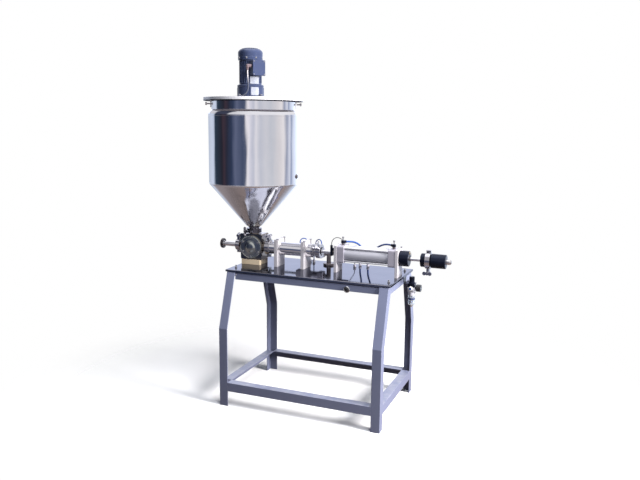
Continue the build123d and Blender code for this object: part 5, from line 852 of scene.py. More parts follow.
# filler plug low on the jacket
filler = {"turn": 7, "z": 1277, "face": 253.6}
fillerPlace = hopperPlace @ around(filler["turn"]) @ at(filler["face"], 0, filler["z"]) @ towardsX
makePiece("fillerPlug", [
    (turned([(0, 0), (14, 0), (14, 2.4), (12.6, 3.2), (0, 3.2)], 40), fillerPlace),
    (prism(circle(9.5, 6), 5, 0.6), fillerPlace @ at(0, 0, 3)),
], "frame", "postSteel")

# lid: a thin black ring under the skirt's edge, rolled skirt and two hanging lugs
lug = {"turns": (27, 207), "reach": 238, "top": 1709, "thick": 4}
lidProfile = [
    (12.9, 1709), (277, 1709), (278, 1708), (278, 1696), (280, 1696), (280, 1708.5), (279.2, 1710.8),
    (277, 1712), (12.9, 1712)]
blackRingProfile = [
    (276.6, 1692.6), (277.2, 1692), (279.4, 1692), (280, 1692.6), (280, 1696.4), (276.6, 1696.4)]
lugSide = [(12, -44), (10.5, -48.5), (7, -51.5), (4, -52)]
lugOutline = [(-12, 0), (12, 0)] + lugSide + [(-x, y) for x, y in reversed(lugSide)]
lidShapes = [(turned(lidProfile, hopper["steps"]), hopperPlace)]
for turn in lug["turns"]:
    spot = hopperPlace @ around(turn) @ at(lug["reach"], 0, lug["top"])
    lidShapes.append((prism(lugOutline, lug["thick"], 0.5), spot @ alongX))
lathe("lidSkirtBlackRing", blackRingProfile, hopper["steps"], hopperPlace, "lid", "blackPlastic")
makePiece("lidSheet", lidShapes, "lid", "lidSteel", ["lid"], sharp=40)
print("stage: hopper")

# gear motor
motor = {"x": -457.5, "steps": 96, "ears": (72, 162, 252, 342), "ribs": 30, "boxTurn": -34, "boxSpan": 44}
motorPlace = at(motor["x"], 0, 0)
gearProfile = [
    (66.5, 1712), (74.5, 1712), (74.5, 1718), (72.6, 1720), (72.6, 1771), (74.5, 1773), (74.5, 1779.5),
    (71, 1783), (8.1, 1783), (8.1, 1775), (66.5, 1775)]
gearShapes = [(turned(gearProfile, motor["steps"], 0.5), motorPlace)]
for turn in motor["ears"]:
    ear = pierced(circle(13, 32), circle(5.2, 32), 12, 0.8)
    gearShapes.append((ear, motorPlace @ around(turn) @ at(84, 0, 1712)))
    gearShapes.append((slab(5, 7, 48, 1.2), motorPlace @ around(turn + 45) @ at(72.4, 0, 1745)))
makePiece("gearHousing", gearShapes, "lid", "motorPaint", ["gear_housing"])
motorProfile = [
    (54, 1783), (62.6, 1783), (62.6, 1792), (60, 1794), (60, 1910), (62.6, 1912), (62.6, 1918),
    (60.5, 1920), (8.1, 1920), (8.1, 1914), (54, 1914)]
motorShapes = [(turned(motorProfile, motor["steps"], 0.5), motorPlace)]
for k in range(motor["ribs"]):
    turn = 360 * k / motor["ribs"]
    length, middle = 118, 1852
    if abs((turn - motor["boxTurn"] + 180) % 360 - 180) <= motor["boxSpan"]:
        length, middle = 32, 1810  # under the terminal box only the lower part of a rib shows
    motorShapes.append((slab(5.6, 2.8, length, 0.9), motorPlace @ around(turn) @ at(60.2, 0, middle)))
makePiece("motorHousing", motorShapes, "lid", "motorPaint", ["motor_housing"])


def quarterArc(x, y, wide, high, count):
    # points of a quarter ellipse, from its side to its top
    turns = [math.pi / 2 * k / count for k in range(count + 1)]
    return [(x + wide * math.cos(turn), y + high * math.sin(turn)) for turn in turns]


# fan cover: a drawn cap with slots in its top
fan = {"wall": 2, "slotLow": 1970, "slotInner": 30, "slotOuter": 56, "screws": 8, "firstScrew": -80}
capProfile = [(69, 1918), (69, 1934), (68.2, 1935), (68.2, 1939), (69, 1940), (69, 1950)]
capProfile += quarterArc(23, 1957, 46, 27, 10) + [(18, 1984), (0, 1984)]
cap = turned(capProfile, motor["steps"])
slots = []
for face in cap.faces:
    middle = face.calc_center_median() / unit
    step = int(math.degrees(math.atan2(middle.y, middle.x)) % 360 / (360 / motor["steps"]))
    inRing = fan["slotInner"] < math.hypot(middle.x, middle.y) < fan["slotOuter"]
    if inRing and middle.z > fan["slotLow"] and step % 4 < 2:
        slots.append(face)
bmesh.ops.delete(cap, geom=slots, context="FACES")
thicken(cap, lambda shape: max(shape.faces, key=lambda f: f.calc_center_median().z), fan["wall"])
capFoot = turned([(63.1, 1918), (68, 1918), (68, 1920), (63.1, 1920)], motor["steps"])
makePiece("fanCover", [(cap, motorPlace), (capFoot, motorPlace)], "lid", "motorPaint", ["fan_cover"])


def screwHead(radius, height):
    # domed head with a round recess
    share = [(0, 0.78), (0.30, 0.80), (0.34, 1), (0.7, 0.92), (0.94, 0.6), (1, 0.2), (1, 0), (0, 0)]
    return turned([(radius * r, height * h) for r, h in share], 28)


screwTurns = [fan["firstScrew"] + 360 * k / fan["screws"] for k in range(fan["screws"])]
makePiece("fanScrews", [
    (screwHead(5.2, 3), motorPlace @ around(turn) @ at(68.6, 0, 1928) @ towardsX) for turn in screwTurns
], "lid", "screwSteel")

# terminal box and its cover, in the box's own frame
box = {"z": 1872, "wide": 78, "high": 84, "back": 47, "front": 101, "cover": 9, "seat": 10, "inset": 3}
boxTurn = math.radians(motor["boxTurn"])
boxWide = Vector((-math.sin(boxTurn), math.cos(boxTurn), 0))
boxOut = Vector((math.cos(boxTurn), math.sin(boxTurn), 0))
boxFrame = at(motor["x"], 0, box["z"]) @ Matrix((boxWide, (0, 0, 1), boxOut)).transposed().to_4x4()
boxEnd = box["front"] - box["seat"]
makePiece("terminalBox", [
    (slab(box["wide"] - box["inset"], box["high"] - box["inset"], boxEnd - box["back"], 4, 3),
     boxFrame @ at(0, 0, (boxEnd + box["back"]) / 2)),
    (slab(box["wide"], box["high"], box["cover"], 3, 4),
     boxFrame @ at(0, 0, box["front"] - box["cover"] / 2)),
], "lid", "motorPaint", ["terminal_box"])
makePiece("terminalScrews", [
    (screwHead(3.4, 2), boxFrame @ at(sideX * 32, sideY * 35, box["front"] - 0.2))
    for sideX in sides for sideY in sides
], "lid", "screwSteel")

# elbow gland: lock nut, bent body and a ribbed tail that narrows to the lead
gland = {"place": (-39, 10, 82), "reach": 24, "body": 9, "tail": 24, "ribs": 4}
glandPlace = boxFrame @ at(*gland["place"]) @ Matrix.Rotation(-math.pi / 2, 4, "Y")
bend = at(*(glandPlace @ Vector((0, 0, gland["reach"] * unit)) / unit))
armProfile = [(0, 5), (8.6, 5), (8.6, 7), (9, 7.6), (9, gland["reach"]), (0, gland["reach"])]
tailProfile = [(3.6, 0), (gland["body"], 0), (gland["body"], -6)]
tailProfile += [(gland["body"] + 0.8, -6.6), (gland["body"] + 0.8, -9.4)]
for k in range(gland["ribs"]):
    low = -10 - 3.4 * k
    size = gland["body"] - 0.24 * (-10 - low)
    tailProfile += [(size, low), (size - 0.8, low - 0.5), (size - 0.8, low - 1.7), (size - 0.2, low - 2.3)]
tailProfile += [(5.6, -23.6), (5, -gland["tail"]), (3.6, -gland["tail"])]
elbow = bmesh.new()
bmesh.ops.create_uvsphere(elbow, u_segments=32, v_segments=16, radius=gland["body"] * unit)
makePiece("cableGland", [
    (prism(circle(10, 6), 6, 0.6), glandPlace), (turned(armProfile, 40), glandPlace),
    (elbow, bend), (turned(tailProfile, 40), bend),
], "lid", "glandPlastic", ["cable_gland"])

# two bare rating plates, bent round the housings, and their rivets
bare = {"thick": 0.8, "corner": 2, "cuts": 8, "rivetIn": 3.5}
barePlates = [
    {"radius": 63.2, "wide": 54, "high": 40, "turn": -40, "z": 1807},
    {"radius": 72.7, "wide": 48, "high": 44, "turn": -43, "z": 1747},
]


def curvedPlate(radius, wide, high):
    # flat sheet with rounded corners, cut across and then bent round a cylinder
    outline = []
    corner = bare["corner"]
    x, y = wide / 2 - corner, high / 2 - corner
    for cornerX, cornerY, first in ((x, y, 0), (-x, y, 90), (-x, -y, 180), (x, -y, 270)):
        for k in range(5):
            turn = math.radians(first + 22.5 * k)
            outline.append((cornerX + corner * math.cos(turn), cornerY + corner * math.sin(turn)))
    flat = prism(outline, bare["thick"])
    for k in range(1, bare["cuts"]):
        cut = (-wide / 2 + wide * k / bare["cuts"]) * unit
        everything = flat.verts[:] + flat.edges[:] + flat.faces[:]
        bmesh.ops.bisect_plane(flat, geom=everything, plane_co=(cut, 0, 0), plane_no=(1, 0, 0))
    for v in flat.verts:
        turn = v.co.x / (radius * unit)
        reach = radius * unit + v.co.z
        v.co = Vector((reach * math.cos(turn), reach * math.sin(turn), v.co.y))
    return flat


plateShapes, rivetShapes = [], []
for plate in barePlates:
    flat = curvedPlate(plate["radius"], plate["wide"], plate["high"])
    plateShapes.append((flat, motorPlace @ around(plate["turn"]) @ at(0, 0, plate["z"])))
    aside, upward = plate["wide"] / 2 - bare["rivetIn"], plate["high"] / 2 - bare["rivetIn"]
    for sideX in sides:
        for sideZ in sides:
            turn = plate["turn"] + math.degrees(sideX * aside / plate["radius"])
            spot = at(plate["radius"] + 0.7, 0, plate["z"] + sideZ * upward)
            rivetShapes.append((screwHead(1.6, 1), motorPlace @ around(turn) @ spot @ towardsX))
makePiece("barePlates", plateShapes, "lid", "platePale")
makePiece("plateRivets", rivetShapes, "lid", "screwSteel")
print("stage: gear motor")

# valve covers and outlet on the line of cylinders
line = {"z": 866, "valveX": -438.5, "steps": 72, "soft": 0.4}
linePlace = at(0, 0, line["z"]) @ towardsX
coverDish = [
    (16, 17.8), (20, 17.1), (23, 15.8), (25.6, 13.8), (28.6, 12.1), (33, 11), (40, 10.3), (48, 10), (61, 9.7),
    (62, 9.2), (63, 10), (65.2, 9.8), (66.5, 8.4), (66.5, 0)]
frontCover = [(0, 18)] + coverDish + [(10.3, 0), (10.3, 14.4), (0, 14.4)]
rearCover = [(10.4, 18)] + coverDish + [(10.4, 0)]
makePiece("valveCovers", [
    (turned(frontCover, 96), at(line["valveX"], -41, line["z"]) @ towardsFront),
    (turned(rearCover, 96), at(line["valveX"], 51, line["z"]) @ towardsBack),
], "frame", "turnedChrome", ["valve_covers"])


def onLine(name, profile, body, finish, stands=(), **more):
    lathe(name, profile, line["steps"], linePlace, body, finish, stands, line["soft"], **more)


onLine("spoutFlange", [
    (12, -651.5), (26.5, -651.5), (28.6, -650.2), (29.5, -647), (29.5, -642), (28.6, -638.8),
    (26.5, -637.5), (12, -637.5),
], "frame", "flangeChrome")
onLine("dischargeSpout", [
    (12, -638), (16.2, -638), (14.5, -635.8), (14.5, -541.5), (25.25, -541.5), (25.25, -536.5), (12, -536.5),
], "frame", "rodChrome", ["discharge_spout"], slotName="valve_chrome")

# saddles, plates and caps on the line
saddle = {"xs": (-276.5, -111.5), "thick": 20, "half": 52, "low": -103, "high": 54, "bore": 38.1, "gap": 0.5}
half, gap = saddle["half"], saddle["gap"]
arc = circle(saddle["bore"], 48)[:25]
upperHalf = [(half, gap), (half, saddle["high"]), (-half, saddle["high"]), (-half, gap)]
upperHalf += [(x, max(y, gap)) for x, y in reversed(arc)]
lowerHalf = [(-half, -gap), (-half, saddle["low"]), (half, saddle["low"]), (half, -gap)]
lowerHalf += [(x, min(-y, -gap)) for x, y in arc]
makePiece("cylinderSaddles", [
    (prism(outline, saddle["thick"], 1), at(x - saddle["thick"] / 2, 0, line["z"]) @ alongX)
    for x in saddle["xs"] for outline in (upperHalf, lowerHalf)
], "frame", "satinAluminium", ["cylinder_saddles"])
plates = {"xs": (76.5, 424.5), "thick": 16, "half": 49, "low": -103, "high": 48, "bore": 20, "points": 64}
plateLoop = boxLoop(-plates["half"], plates["half"], plates["low"], plates["high"], plates["points"])
plateBore = circle(plates["bore"], plates["points"])
makePiece("driveSupports", [
    (pierced(plateLoop, plateBore, plates["thick"], 1), at(x, 0, line["z"]) @ alongX) for x in plates["xs"]
], "frame", "satinAluminium", ["drive_supports"])
caps = {"xs": ((92.5, 12.7), (384.5, 10.2)), "thick": 40, "half": 47.5, "corner": 8, "points": 96}
capLoop = boxLoop(-caps["half"], caps["half"], -caps["half"], caps["half"], caps["points"], caps["corner"])
makePiece("driveCaps", [
    (pierced(capLoop, circle(bore, caps["points"]), caps["thick"], 1.2), at(x, 0, line["z"]) @ alongX)
    for x, bore in caps["xs"]
], "frame", "capAluminium", ["drive_caps"])
print("stage: valve and line")

# stroke adjuster
onLine("stopBumper", [
    (10.4, 440.5), (39.5, 440.5), (42, 443), (42, 489), (40.8, 491.6), (38, 492.5), (14, 492.5), (13, 491.5),
    (10.4, 491.5),
], "frame", "blackPlastic", ["stop_bumper"])
onLine("stopCollar", [
    (10.1, 556.5), (34.5, 556.5), (36.5, 558.5), (36.5, 580.5), (35, 582.5), (28, 582.5), (28, 590.5),
    (36, 590.5), (36, 595.5), (10.1, 595.5),
], "adjuster_collar", "blackPlastic", ["stop_collar"])
onLine("sleeveTube", [
    (10.1, 595.5), (36, 595.5), (36, 600.5), (28, 600.5), (28, 611.5), (36, 611.5), (38, 613.5), (38, 686),
    (36.6, 689.4), (33.5, 690.5), (0, 690.5), (0, 678.5), (10.1, 678.5),
], "adjuster_sleeve", "blackPlastic", ["adjuster_sleeve"])
domeProfile = [(0, 690.5), (14.5, 690.5), (14.5, 700)] + quarterArc(2.9, 706.9, 11.6, 11.6, 8) + [(0, 718.5)]
lathe("domeNut", domeProfile, 48, linePlace, "adjuster_sleeve", "screwSteel")
# brass stop screw in the bumper, a bolt on the rear plate and a screw in the front rail
stopProfile = [(0, 0), (9, 0), (9, 2), (8.2, 2.8), (3.4, 2.8), (3, 1.6), (0, 1.6)]
lathe("stopScrew", stopProfile, 36, at(492.2, 0, line["z"] + 30) @ towardsX, "frame", "fittingBrass")
boltProfile = [(0, 0), (6.5, 0), (6.5, 1.2), (4.6, 1.4), (4.6, 9), (4, 9.6), (0, 9.6)]
makePiece("smallBolts", [
    (turned(boltProfile, 28), at(434.5, 42, line["z"] + plates["high"])),
    (screwHead(4.6, 2.6), at(-438.5, -222.8, 737) @ towardsFront),
], "frame", "screwSteel")
print("stage: adjuster")

# air fittings: flow controls on the caps, sockets on the table, plugs on the small cylinder
flow = {"xs": ((112.5, 30), (404.5, 150)), "foot": 913.5, "outlet": 931, "knurls": 14}
flowProfiles = {
    "neck": [(0, 7), (7.6, 7), (7.6, 10.2), (0, 10.2)],
    "body": [(0, 10), (10, 10), (11, 11), (11, 24), (10, 25), (0, 25)],
    "outlet": [(0, 0), (8, 0), (8, 17.4), (7.2, 18.2), (5.2, 18.2), (5.2, 17), (0, 17)],
    "collar": [(5.1, 17.6), (6.6, 17.6), (6.6, 19.4), (6.1, 20), (5.1, 20)],
    "knob": [(0, 29), (3, 29), (3, 36), (5, 36.6), (5, 45.6), (4.2, 47), (0, 47)],
}
flowBodies, flowFeet, flowKnobs, flowCollars = [], [], [], []
for x, turn in flow["xs"]:
    spot = at(x, 0, flow["foot"])
    out = at(x, 0, flow["outlet"]) @ around(turn) @ towardsX
    flowFeet.append((prism(circle(9, 6), 7, 0.5), spot))
    flowFeet.append((turned(flowProfiles["neck"], 32, 0.3), spot))
    flowBodies.append((turned(flowProfiles["body"], 40, 0.3), spot))
    flowBodies.append((turned(flowProfiles["outlet"], 40), out))
    flowCollars.append((turned(flowProfiles["collar"], 40), out))
    flowKnobs.append((prism(circle(5.6, 6), 4, 0.4), spot @ at(0, 0, 25)))
    flowKnobs.append((turned(flowProfiles["knob"], 32, 0.25), spot))
    for k in range(flow["knurls"]):
        flowKnobs.append((slab(0.9, 0.9, 8, 0.2), spot @ around(360 * k / flow["knurls"]) @ at(4.9, 0, 41)))
socketSpots = [(*tube["route"][-1][:2], table["top"]) for tube in tubes.values()]  # where the tubes end
socketProfile = [(0, 4), (8.4, 4), (8.4, 11), (7.4, 14.8), (6.6, 16), (0, 16)]
elbowProfile = [(0, 0), (7, 0), (7, 5), (6, 5.6), (6, 8), (7, 8.6), (7, 17), (6.2, 19.4), (5, 20), (0, 20)]
makePiece("tubeSockets", [(turned(socketProfile, 36), at(*spot)) for spot in socketSpots],
          "frame", "capAluminium", ["air_fittings"])
makePiece("socketNuts", [(prism(circle(10, 6), 4.4, 0.5), at(*spot)) for spot in socketSpots],
          "frame", "ringChrome")
makePiece("tubePlugs", [(turned(elbowProfile, 36, 0.2), at(x, 130, 858)) for x in (-203.5, -66.5)],
          "frame", "blackPlastic")
makePiece("flowBodies", flowBodies, "frame", "blackPlastic", ["flow_controls"])
makePiece("flowFeet", flowFeet, "frame", "postSteel")
makePiece("flowKnobs", flowKnobs, "frame", "screwSteel")
makePiece("flowCollars", flowCollars, "frame", "tubeBlue")

# filter regulator
regulator = {"x": 488.5, "y": 85, "port": 690, "shelf": 712, "knobLow": 735.4, "flutes": 32, "flute": 0.9}
airPlace = at(regulator["x"], regulator["y"], 0)
makePiece("regulatorBlock", [
    (slab(40, 40, 26, 3.6, 4), airPlace @ at(0, 0, 681)),
    (turned([(18.6, 646), (20, 646.8), (20, 667), (18.6, 667.8)], 56, 0.2), airPlace),
    (turned([(0, 0), (13, 0), (13, 2.2), (11.8, 3), (0, 3)], 40),
     airPlace @ at(0, 19.6, regulator["port"]) @ towardsBack),
    (slab(28, 41, 18, 2, 3), airPlace @ at(0, 0, 682)),
], "frame", "barrelAluminium", ["regulator_body"])
bonnetProfile = [
    (0, 712), (11, 712), (11, 715), (18, 715), (18, 718), (15.2, 722), (14.6, 731), (15, 735), (5, 735),
    (5, 745), (0, 745)]
bracketShelf = pierced(boxLoop(-42, 20, -25, 25, 48), circle(11.1, 48), 3, 0.5)
makePiece("regulatorBonnet", [
    (slab(40, 40, 18, 3, 4), airPlace @ at(0, 0, 703)),
    (turned(bonnetProfile, 48, 0.4), airPlace),
    (bracketShelf, airPlace @ at(0, 0, regulator["shelf"])),
    (slab(3, 50, 46, 0.8), airPlace @ at(-40.5, 0, 735)),
], "frame", "blackPlastic")
fluted = []
for k, (x, y) in enumerate(circle(1, 3 * regulator["flutes"])):
    reach = 15 - (regulator["flute"] if (k // 3) % 2 else 0)
    fluted.append((reach * x, reach * y))
makePiece("regulatorKnob", [
    (pierced(fluted, circle(5.1, len(fluted)), 13.4, 0.3), airPlace @ at(0, 0, regulator["knobLow"])),
    (turned([(0, 745.5), (14, 748.6), (14, 751), (12.6, 752.4), (0, 752.4)], 48), airPlace),
], "regulator_knob", "blackPlastic", ["regulator_knob"])
bowlProfile = [
    (16.5, 668), (18.5, 668), (18.5, 599), (17.6, 594.5), (15, 591.4), (11.5, 590), (6, 590), (6, 592),
    (10.5, 592.4), (13.6, 593.8), (15.8, 596.6), (16.5, 600)]
lathe("filterBowl", bowlProfile, 56, airPlace, "frame", "bowlClear", ["filter_bowl"], sharp=40)
makePiece("bowlBand", [
    (turned([(18.6, 624), (19.4, 624.6), (19.4, 631.4), (18.6, 632)], 56, 0.2), airPlace),
    (turned([(0, 640), (9, 640), (11, 636), (11, 610), (9, 607), (0, 607)], 40, 0.4), airPlace),
    (turned([(0, 655), (6, 655), (6, 640), (0, 640)], 32), airPlace),
], "frame", "bandBlue")
drainProfile = [
    (0, 593.4), (7.6, 593.4), (7.6, 592.3), (5.8, 592), (5.8, 584), (5, 583), (3.4, 583), (3.4, 580),
    (0, 580)]
lathe("drainTip", drainProfile, 32, airPlace, "frame", "fittingBrass", soft=0.2)
# push-in collar at the inlet: a pale ring round a blue release button
inletPlace = at(regulator["x"], 65, regulator["port"]) @ towardsFront
collarProfile = [(0, 0), (9, 0), (9, 4), (11, 5), (11, 14.4), (10, 16), (6.6, 16), (6.6, 12), (0, 12)]
lathe("inletCollar", collarProfile, 40, inletPlace, "frame", "sealWhite")
releaseProfile = [(0, 6), (6.3, 6), (6.3, 17.4), (5.6, 18), (4, 18), (3.4, 16.4), (0, 16)]
lathe("inletButton", releaseProfile, 36, inletPlace, "frame", "tubeBlue")

# pressure gauge
gauge = {"steps": 64, "marks": 28, "everyLong": 3, "start": 225, "sweep": 270, "face": 533.1, "markEnd": 16.4}
gaugePlace = at(0, regulator["y"], regulator["port"]) @ towardsX
caseProfile = [
    (0, 508.5), (6, 508.5), (6, 514.5), (17.5, 514.5), (20, 517), (20, 539), (19.2, 540.5), (18, 540.5),
    (18, 532.5), (0, 532.5)]
dialProfile = [(1.2, 532.5), (17.8, 532.5), (17.8, 533), (1.2, 533)]
lathe("gaugeCase", caseProfile, gauge["steps"], gaugePlace, "frame", "gaugeBlack", ["gauge_case"], 0.3)
lathe("gaugeDial", dialProfile, gauge["steps"], gaugePlace, "frame", "dialWhite")
markShapes = []
dialMiddle = at(gauge["face"], regulator["y"], regulator["port"])
for k in range(gauge["marks"]):
    turn = gauge["start"] - gauge["sweep"] * k / (gauge["marks"] - 1)
    length = 1.8 if k % gauge["everyLong"] else 3.2
    spot = Matrix.Rotation(math.radians(90 - turn), 4, "X") @ at(0, 0, gauge["markEnd"] - length / 2)
    markShapes.append((slab(0.25, 0.5, length), dialMiddle @ spot))
makePiece("dialMarks", markShapes, "frame", "dialMark")
pivotProfile = [(0, 532.5), (0.95, 532.5), (0.95, 536.2), (0, 536.3)]
lathe("needlePin", pivotProfile, 20, gaugePlace, "frame", "screwSteel")
lensProfile = [(0, 538.4), (18, 538.4), (18, 539.6), (12, 540.1), (0, 540.3)]
lathe("gaugeLens", lensProfile, gauge["steps"], gaugePlace, "frame", "lensClear")
print("stage: air unit")

# push button, its ring and the lock nut behind the rail
press = {"place": (218.5, -223, 720), "steps": 48, "nut": 14.7, "nutAt": -9.2}
pressPlace = at(*press["place"]) @ towardsFront
nutOutline = []
for k, (x, y) in enumerate(circle(press["nut"], press["steps"])):  # hexagon with as many points as its hole
    share = math.cos(math.radians(360 / press["steps"] * k % 60 - 30))
    nutOutline.append((x / share, y / share))
bezelProfile = [(12.2, 0), (18, 0), (18, 2.4), (17, 4.6), (14.8, 6), (13.2, 5.4), (12.2, 4)]
barrelProfile = [(12.2, 0.2), (13.4, 0.2), (13.4, -16), (12.2, -16)]
makePiece("buttonBezel", [
    (turned(bezelProfile, press["steps"]), pressPlace),
    (turned(barrelProfile, press["steps"], 0.2), pressPlace),
    (pierced(nutOutline, circle(13.5, press["steps"]), 4, 0.4), pressPlace @ at(0, 0, press["nutAt"])),
], "frame", "ringChrome", ["button_bezel"], slotName="button_ring")
buttonProfile = [(0, -5), (12, -5), (12, 7.2), (11.4, 9), (9.4, 10.2), (6, 10.8), (0, 11)]
lathe("startButton", buttonProfile, press["steps"], pressPlace, "start_button", "buttonBlack",
      ["start_button"])
print("stage: push button")

# CAD solids that keep their shape
kept = {
    "barrelAluminium": ["drive_barrel"],
    "barrelChrome": ["valve_core", "product_barrel"],
    "baseCream": ["valve_base"],
    "blackPlastic": ["trip_sensor"],
    "capAluminium": ["actuator_cylinder"],
    "clampSteel": ["valve_crank", "pipe_clamps", "adjuster_clamp", "rear_head"],
    "needleRed": ["gauge_needle"],
    "postSteel": ["actuator_post", "rod_coupling"],
    "rodChrome": ["actuator_rod", "piston_rods", "tie_rods"],
    "rotorSteel": ["motor_rotor"],
    "screwSteel": ["lid_screws", "machine_screws"],
    "sealWhite": ["product_piston", "drive_piston"],
    "stirrerSteel": ["agitator"],
    "valveChrome": ["valve_body"],
    "wingGrey": ["wing_nuts"],
}
for finish, names in kept.items():
    for name in names:
        solid = nodes[name]
        if not solid.material_slots:
            solid.data.materials.append(finishes[finish])
        for holder in solid.material_slots:
            holder.material = finishes[finish]
print("stage: kept solids")

# floor, fading out to the white round it
floorShape = bmesh.new()
bmesh.ops.create_circle(floorShape, cap_ends=True, segments=96, radius=4)
floorMesh = bpy.data.meshes.new("floor")
floorShape.to_mesh(floorMesh)
floorShape.free()
floor = bpy.data.objects.new("floor", floorMesh)
scene.collection.objects.link(floor)
floor.location.z = -0.0005  # just clear of the feet
floorPaint = bpy.data.materials.new("floorPaint")
floorPaint.use_nodes = True
tree = floorPaint.node_tree
matte = tree.nodes["Principled BSDF"]
matte.inputs["Roughness"].default_value = 0.9
matte.inputs["Specular IOR Level"].default_value = 0.1
place = addNode(tree, "TexCoord").outputs["Object"]
ray = addNode(tree, "LightPath").outputs
mottle = useGroup(tree, driftGroup, place, Scale=1.5, Detail=3.0)
plainTone = blendColour(tree, mottle, (0.95, 0.95, 0.955), (0.97, 0.97, 0.975))
deep = addNode(tree, "VectorMath", {"operation": "DOT_PRODUCT"})
deep.inputs[1].default_value = (-sight.x, -sight.y, 0)
nearSide = addNode(tree, "MapRange", From_Min=-1.7, From_Max=-1.0)
nearMask = feed(tree, feed(tree, place, deep, 0, "Value"), nearSide, "Value")
# polished metal sees a darker floor than the camera does
mirrorTone = blendColour(tree, nearMask, (0.30, 0.33, 0.40), (0.17, 0.135, 0.125))
softTone = blendColour(tree, ray["Is Glossy Ray"], (0.10, 0.085, 0.08), mirrorTone)
floorTone = blendColour(tree, ray["Is Camera Ray"], softTone, plainTone)
tree.links.new(floorTone, matte.inputs["Base Color"])
reach = addNode(tree, "VectorMath", {"operation": "LENGTH"})
fade = addNode(tree, "MapRange", {"interpolation_type": "SMOOTHSTEP"},
               From_Min=0.7, From_Max=2.0, To_Min=1.0, To_Max=0.0)
tree.links.new(feed(tree, feed(tree, place, reach, 0, "Value"), fade, "Value"), matte.inputs["Alpha"])
floorMesh.materials.append(floorPaint)

world = bpy.data.worlds.new("studio")
scene.world = world
world.use_nodes = True
sky = world.node_tree
backdrop = sky.nodes["Background"]
ray = addNode(sky, "LightPath").outputs
heading = addNode(sky, "TexCoord").outputs["Generated"]
height = feed(sky, heading, addNode(sky, "SeparateXYZ"), "Vector", "Z")


def skyRange(value, low, high):
    node = addNode(sky, "MapRange", {"interpolation_type": "SMOOTHSTEP"}, From_Min=low, From_Max=high)
    return feed(sky, value, node, "Value")


def skyWay(way):
    node = addNode(sky, "VectorMath", {"operation": "DOT_PRODUCT"})
    node.inputs[1].default_value = way
    return feed(sky, heading, node, 0, "Value")


# the room as polished metal sees it: panels by angle from the camera, to the right positive
panels = [
    (-180, (0.36, 0.39, 0.45)), (-170, (0.46, 0.52, 0.62)), (-126, (0.68, 0.74, 0.88)),
    (-116, (0.60, 0.67, 0.82)), (-110, (0.03, 0.05, 0.08)), (-84, (0.022, 0.022, 0.034)),
    (-76, (0.055, 0.036, 0.050)), (-66, (0.026, 0.028, 0.048)), (-52, (0.035, 0.05, 0.10)),
    (-40, (0.13, 0.15, 0.24)), (-24, (0.07, 0.09, 0.16)), (-17, (0.10, 0.12, 0.19)),
    (-12, (0.98, 0.93, 0.95)), (-6, (0.80, 0.78, 0.85)), (3, (0.60, 0.61, 0.70)), (11, (0.86, 0.83, 0.86)),
    (22, (0.62, 0.63, 0.70)), (36, (0.72, 0.71, 0.75)), (52, (0.64, 0.65, 0.70)), (72, (0.78, 0.74, 0.75)),
    (86, (0.92, 0.87, 0.87)), (96, (0.34, 0.37, 0.48)), (104, (0.62, 0.64, 0.76)), (110, (0.80, 0.82, 0.90)),
    (116, (0.30, 0.35, 0.52)), (124, (0.72, 0.77, 0.90)), (166, (1.35, 1.50, 1.80)),
    (174, (1.10, 1.25, 1.50)), (180, (0.36, 0.39, 0.45))]
ahead = skyWay(Vector((-sight.x, -sight.y, 0)).normalized())
aside = skyWay(level)
share = addNode(sky, "MapRange", From_Min=-math.pi, From_Max=math.pi)
walls = addNode(sky, "ValToRGB")
stops = walls.color_ramp.elements
while len(stops) < len(panels):
    stops.new(0.5)
for stop, (turn, tone) in zip(stops, panels):
    stop.position = (turn + 180) / 360
    stop.color = (*tone, 1)
angle = addMath(sky, "ARCTAN2", aside, ahead)
wallTone = feed(sky, feed(sky, angle, share, "Value"), walls, "Fac", "Color")
overhead = blendColour(sky, skyRange(aside, -0.9, 0.1), (0.70, 0.69, 0.72), (0.94, 0.92, 0.94))
darkCorner = addMath(sky, "MULTIPLY", skyRange(ahead, 0.46, 0.32), skyRange(ahead, -0.45, -0.25))
darkCorner = addMath(sky, "MULTIPLY", skyRange(aside, -0.42, -0.56), darkCorner)
overhead = blendColour(sky, darkCorner, overhead, (0.05, 0.055, 0.09))  # far left
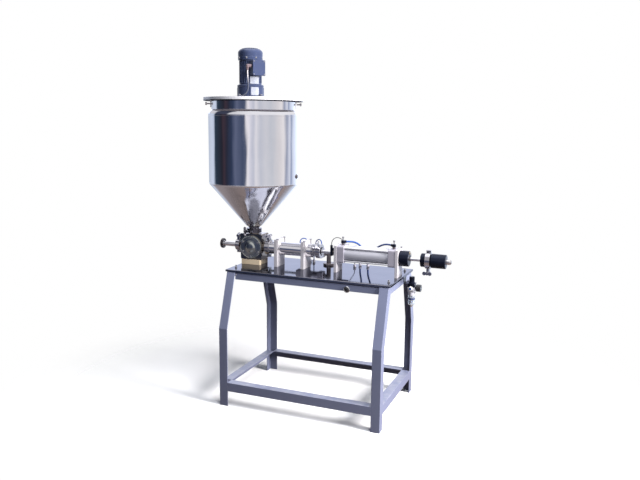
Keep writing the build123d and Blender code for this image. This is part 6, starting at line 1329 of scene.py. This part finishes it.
ceiling = blendColour(sky, skyRange(height, 0.08, 0.26), wallTone, overhead)
above = blendColour(sky, skyRange(aside, -0.62, -0.38), (0.16, 0.18, 0.25), (2.4, 2.42, 2.54))  # soft light
ceiling = blendColour(sky, skyRange(height, 0.80, 0.95), ceiling, above)
farWall = addMath(sky, "MULTIPLY", skyRange(ahead, -0.78, -0.92), skyRange(height, 0.03, 0.09))
ceiling = blendColour(sky, farWall, ceiling, (1.46, 1.54, 1.86))  # seen in the table
ground = blendColour(sky, skyRange(ahead, -0.92, -0.62), (0.66, 0.72, 0.86), (0.30, 0.255, 0.26))
mirrored = blendColour(sky, skyRange(height, -0.22, -0.34), ceiling, ground)
shiny = addMath(sky, "MAXIMUM", ray["Is Glossy Ray"], ray["Is Transmission Ray"])
lit = blendColour(sky, shiny, (0.028, 0.038, 0.064), mirrored)
seen = blendColour(sky, ray["Is Camera Ray"], lit, (1.0, 1.0, 1.0))
sky.links.new(seen, backdrop.inputs["Color"])
backdrop.inputs["Strength"].default_value = 1.0

lamps = {
    "keyLamp": {
        "place": (4.1, -0.6, 2.4), "aim": (-0.1, 0, 0.9),
        "size": 1.8, "power": 620, "tone": (1.0, 0.97, 0.96)},
    "fillLamp": {
        "place": (2.0, -2.5, 4.2), "aim": (-0.2, 0, 0.8),
        "size": 1.6, "power": 140, "tone": (0.94, 0.96, 1.0)},
    "topLamp": {
        "place": (0.2, -0.4, 4.6), "aim": (0.0, 0, 0.9),
        "size": 2.6, "power": 110, "tone": (0.97, 0.98, 1.0)},
}
for name, lamp in lamps.items():
    data = bpy.data.lights.new(name, "AREA")
    data.shape = "DISK"
    data.size = lamp["size"]
    data.energy = lamp["power"]
    data.color = lamp["tone"]
    holder = bpy.data.objects.new(name, data)
    scene.collection.objects.link(holder)
    holder.visible_glossy = False  # polished metal shows the room alone
    holder.location = lamp["place"]
    holder.rotation_euler = (Vector(lamp["aim"]) - Vector(lamp["place"])).to_track_quat("-Z", "Y").to_euler()
print("stage: light")
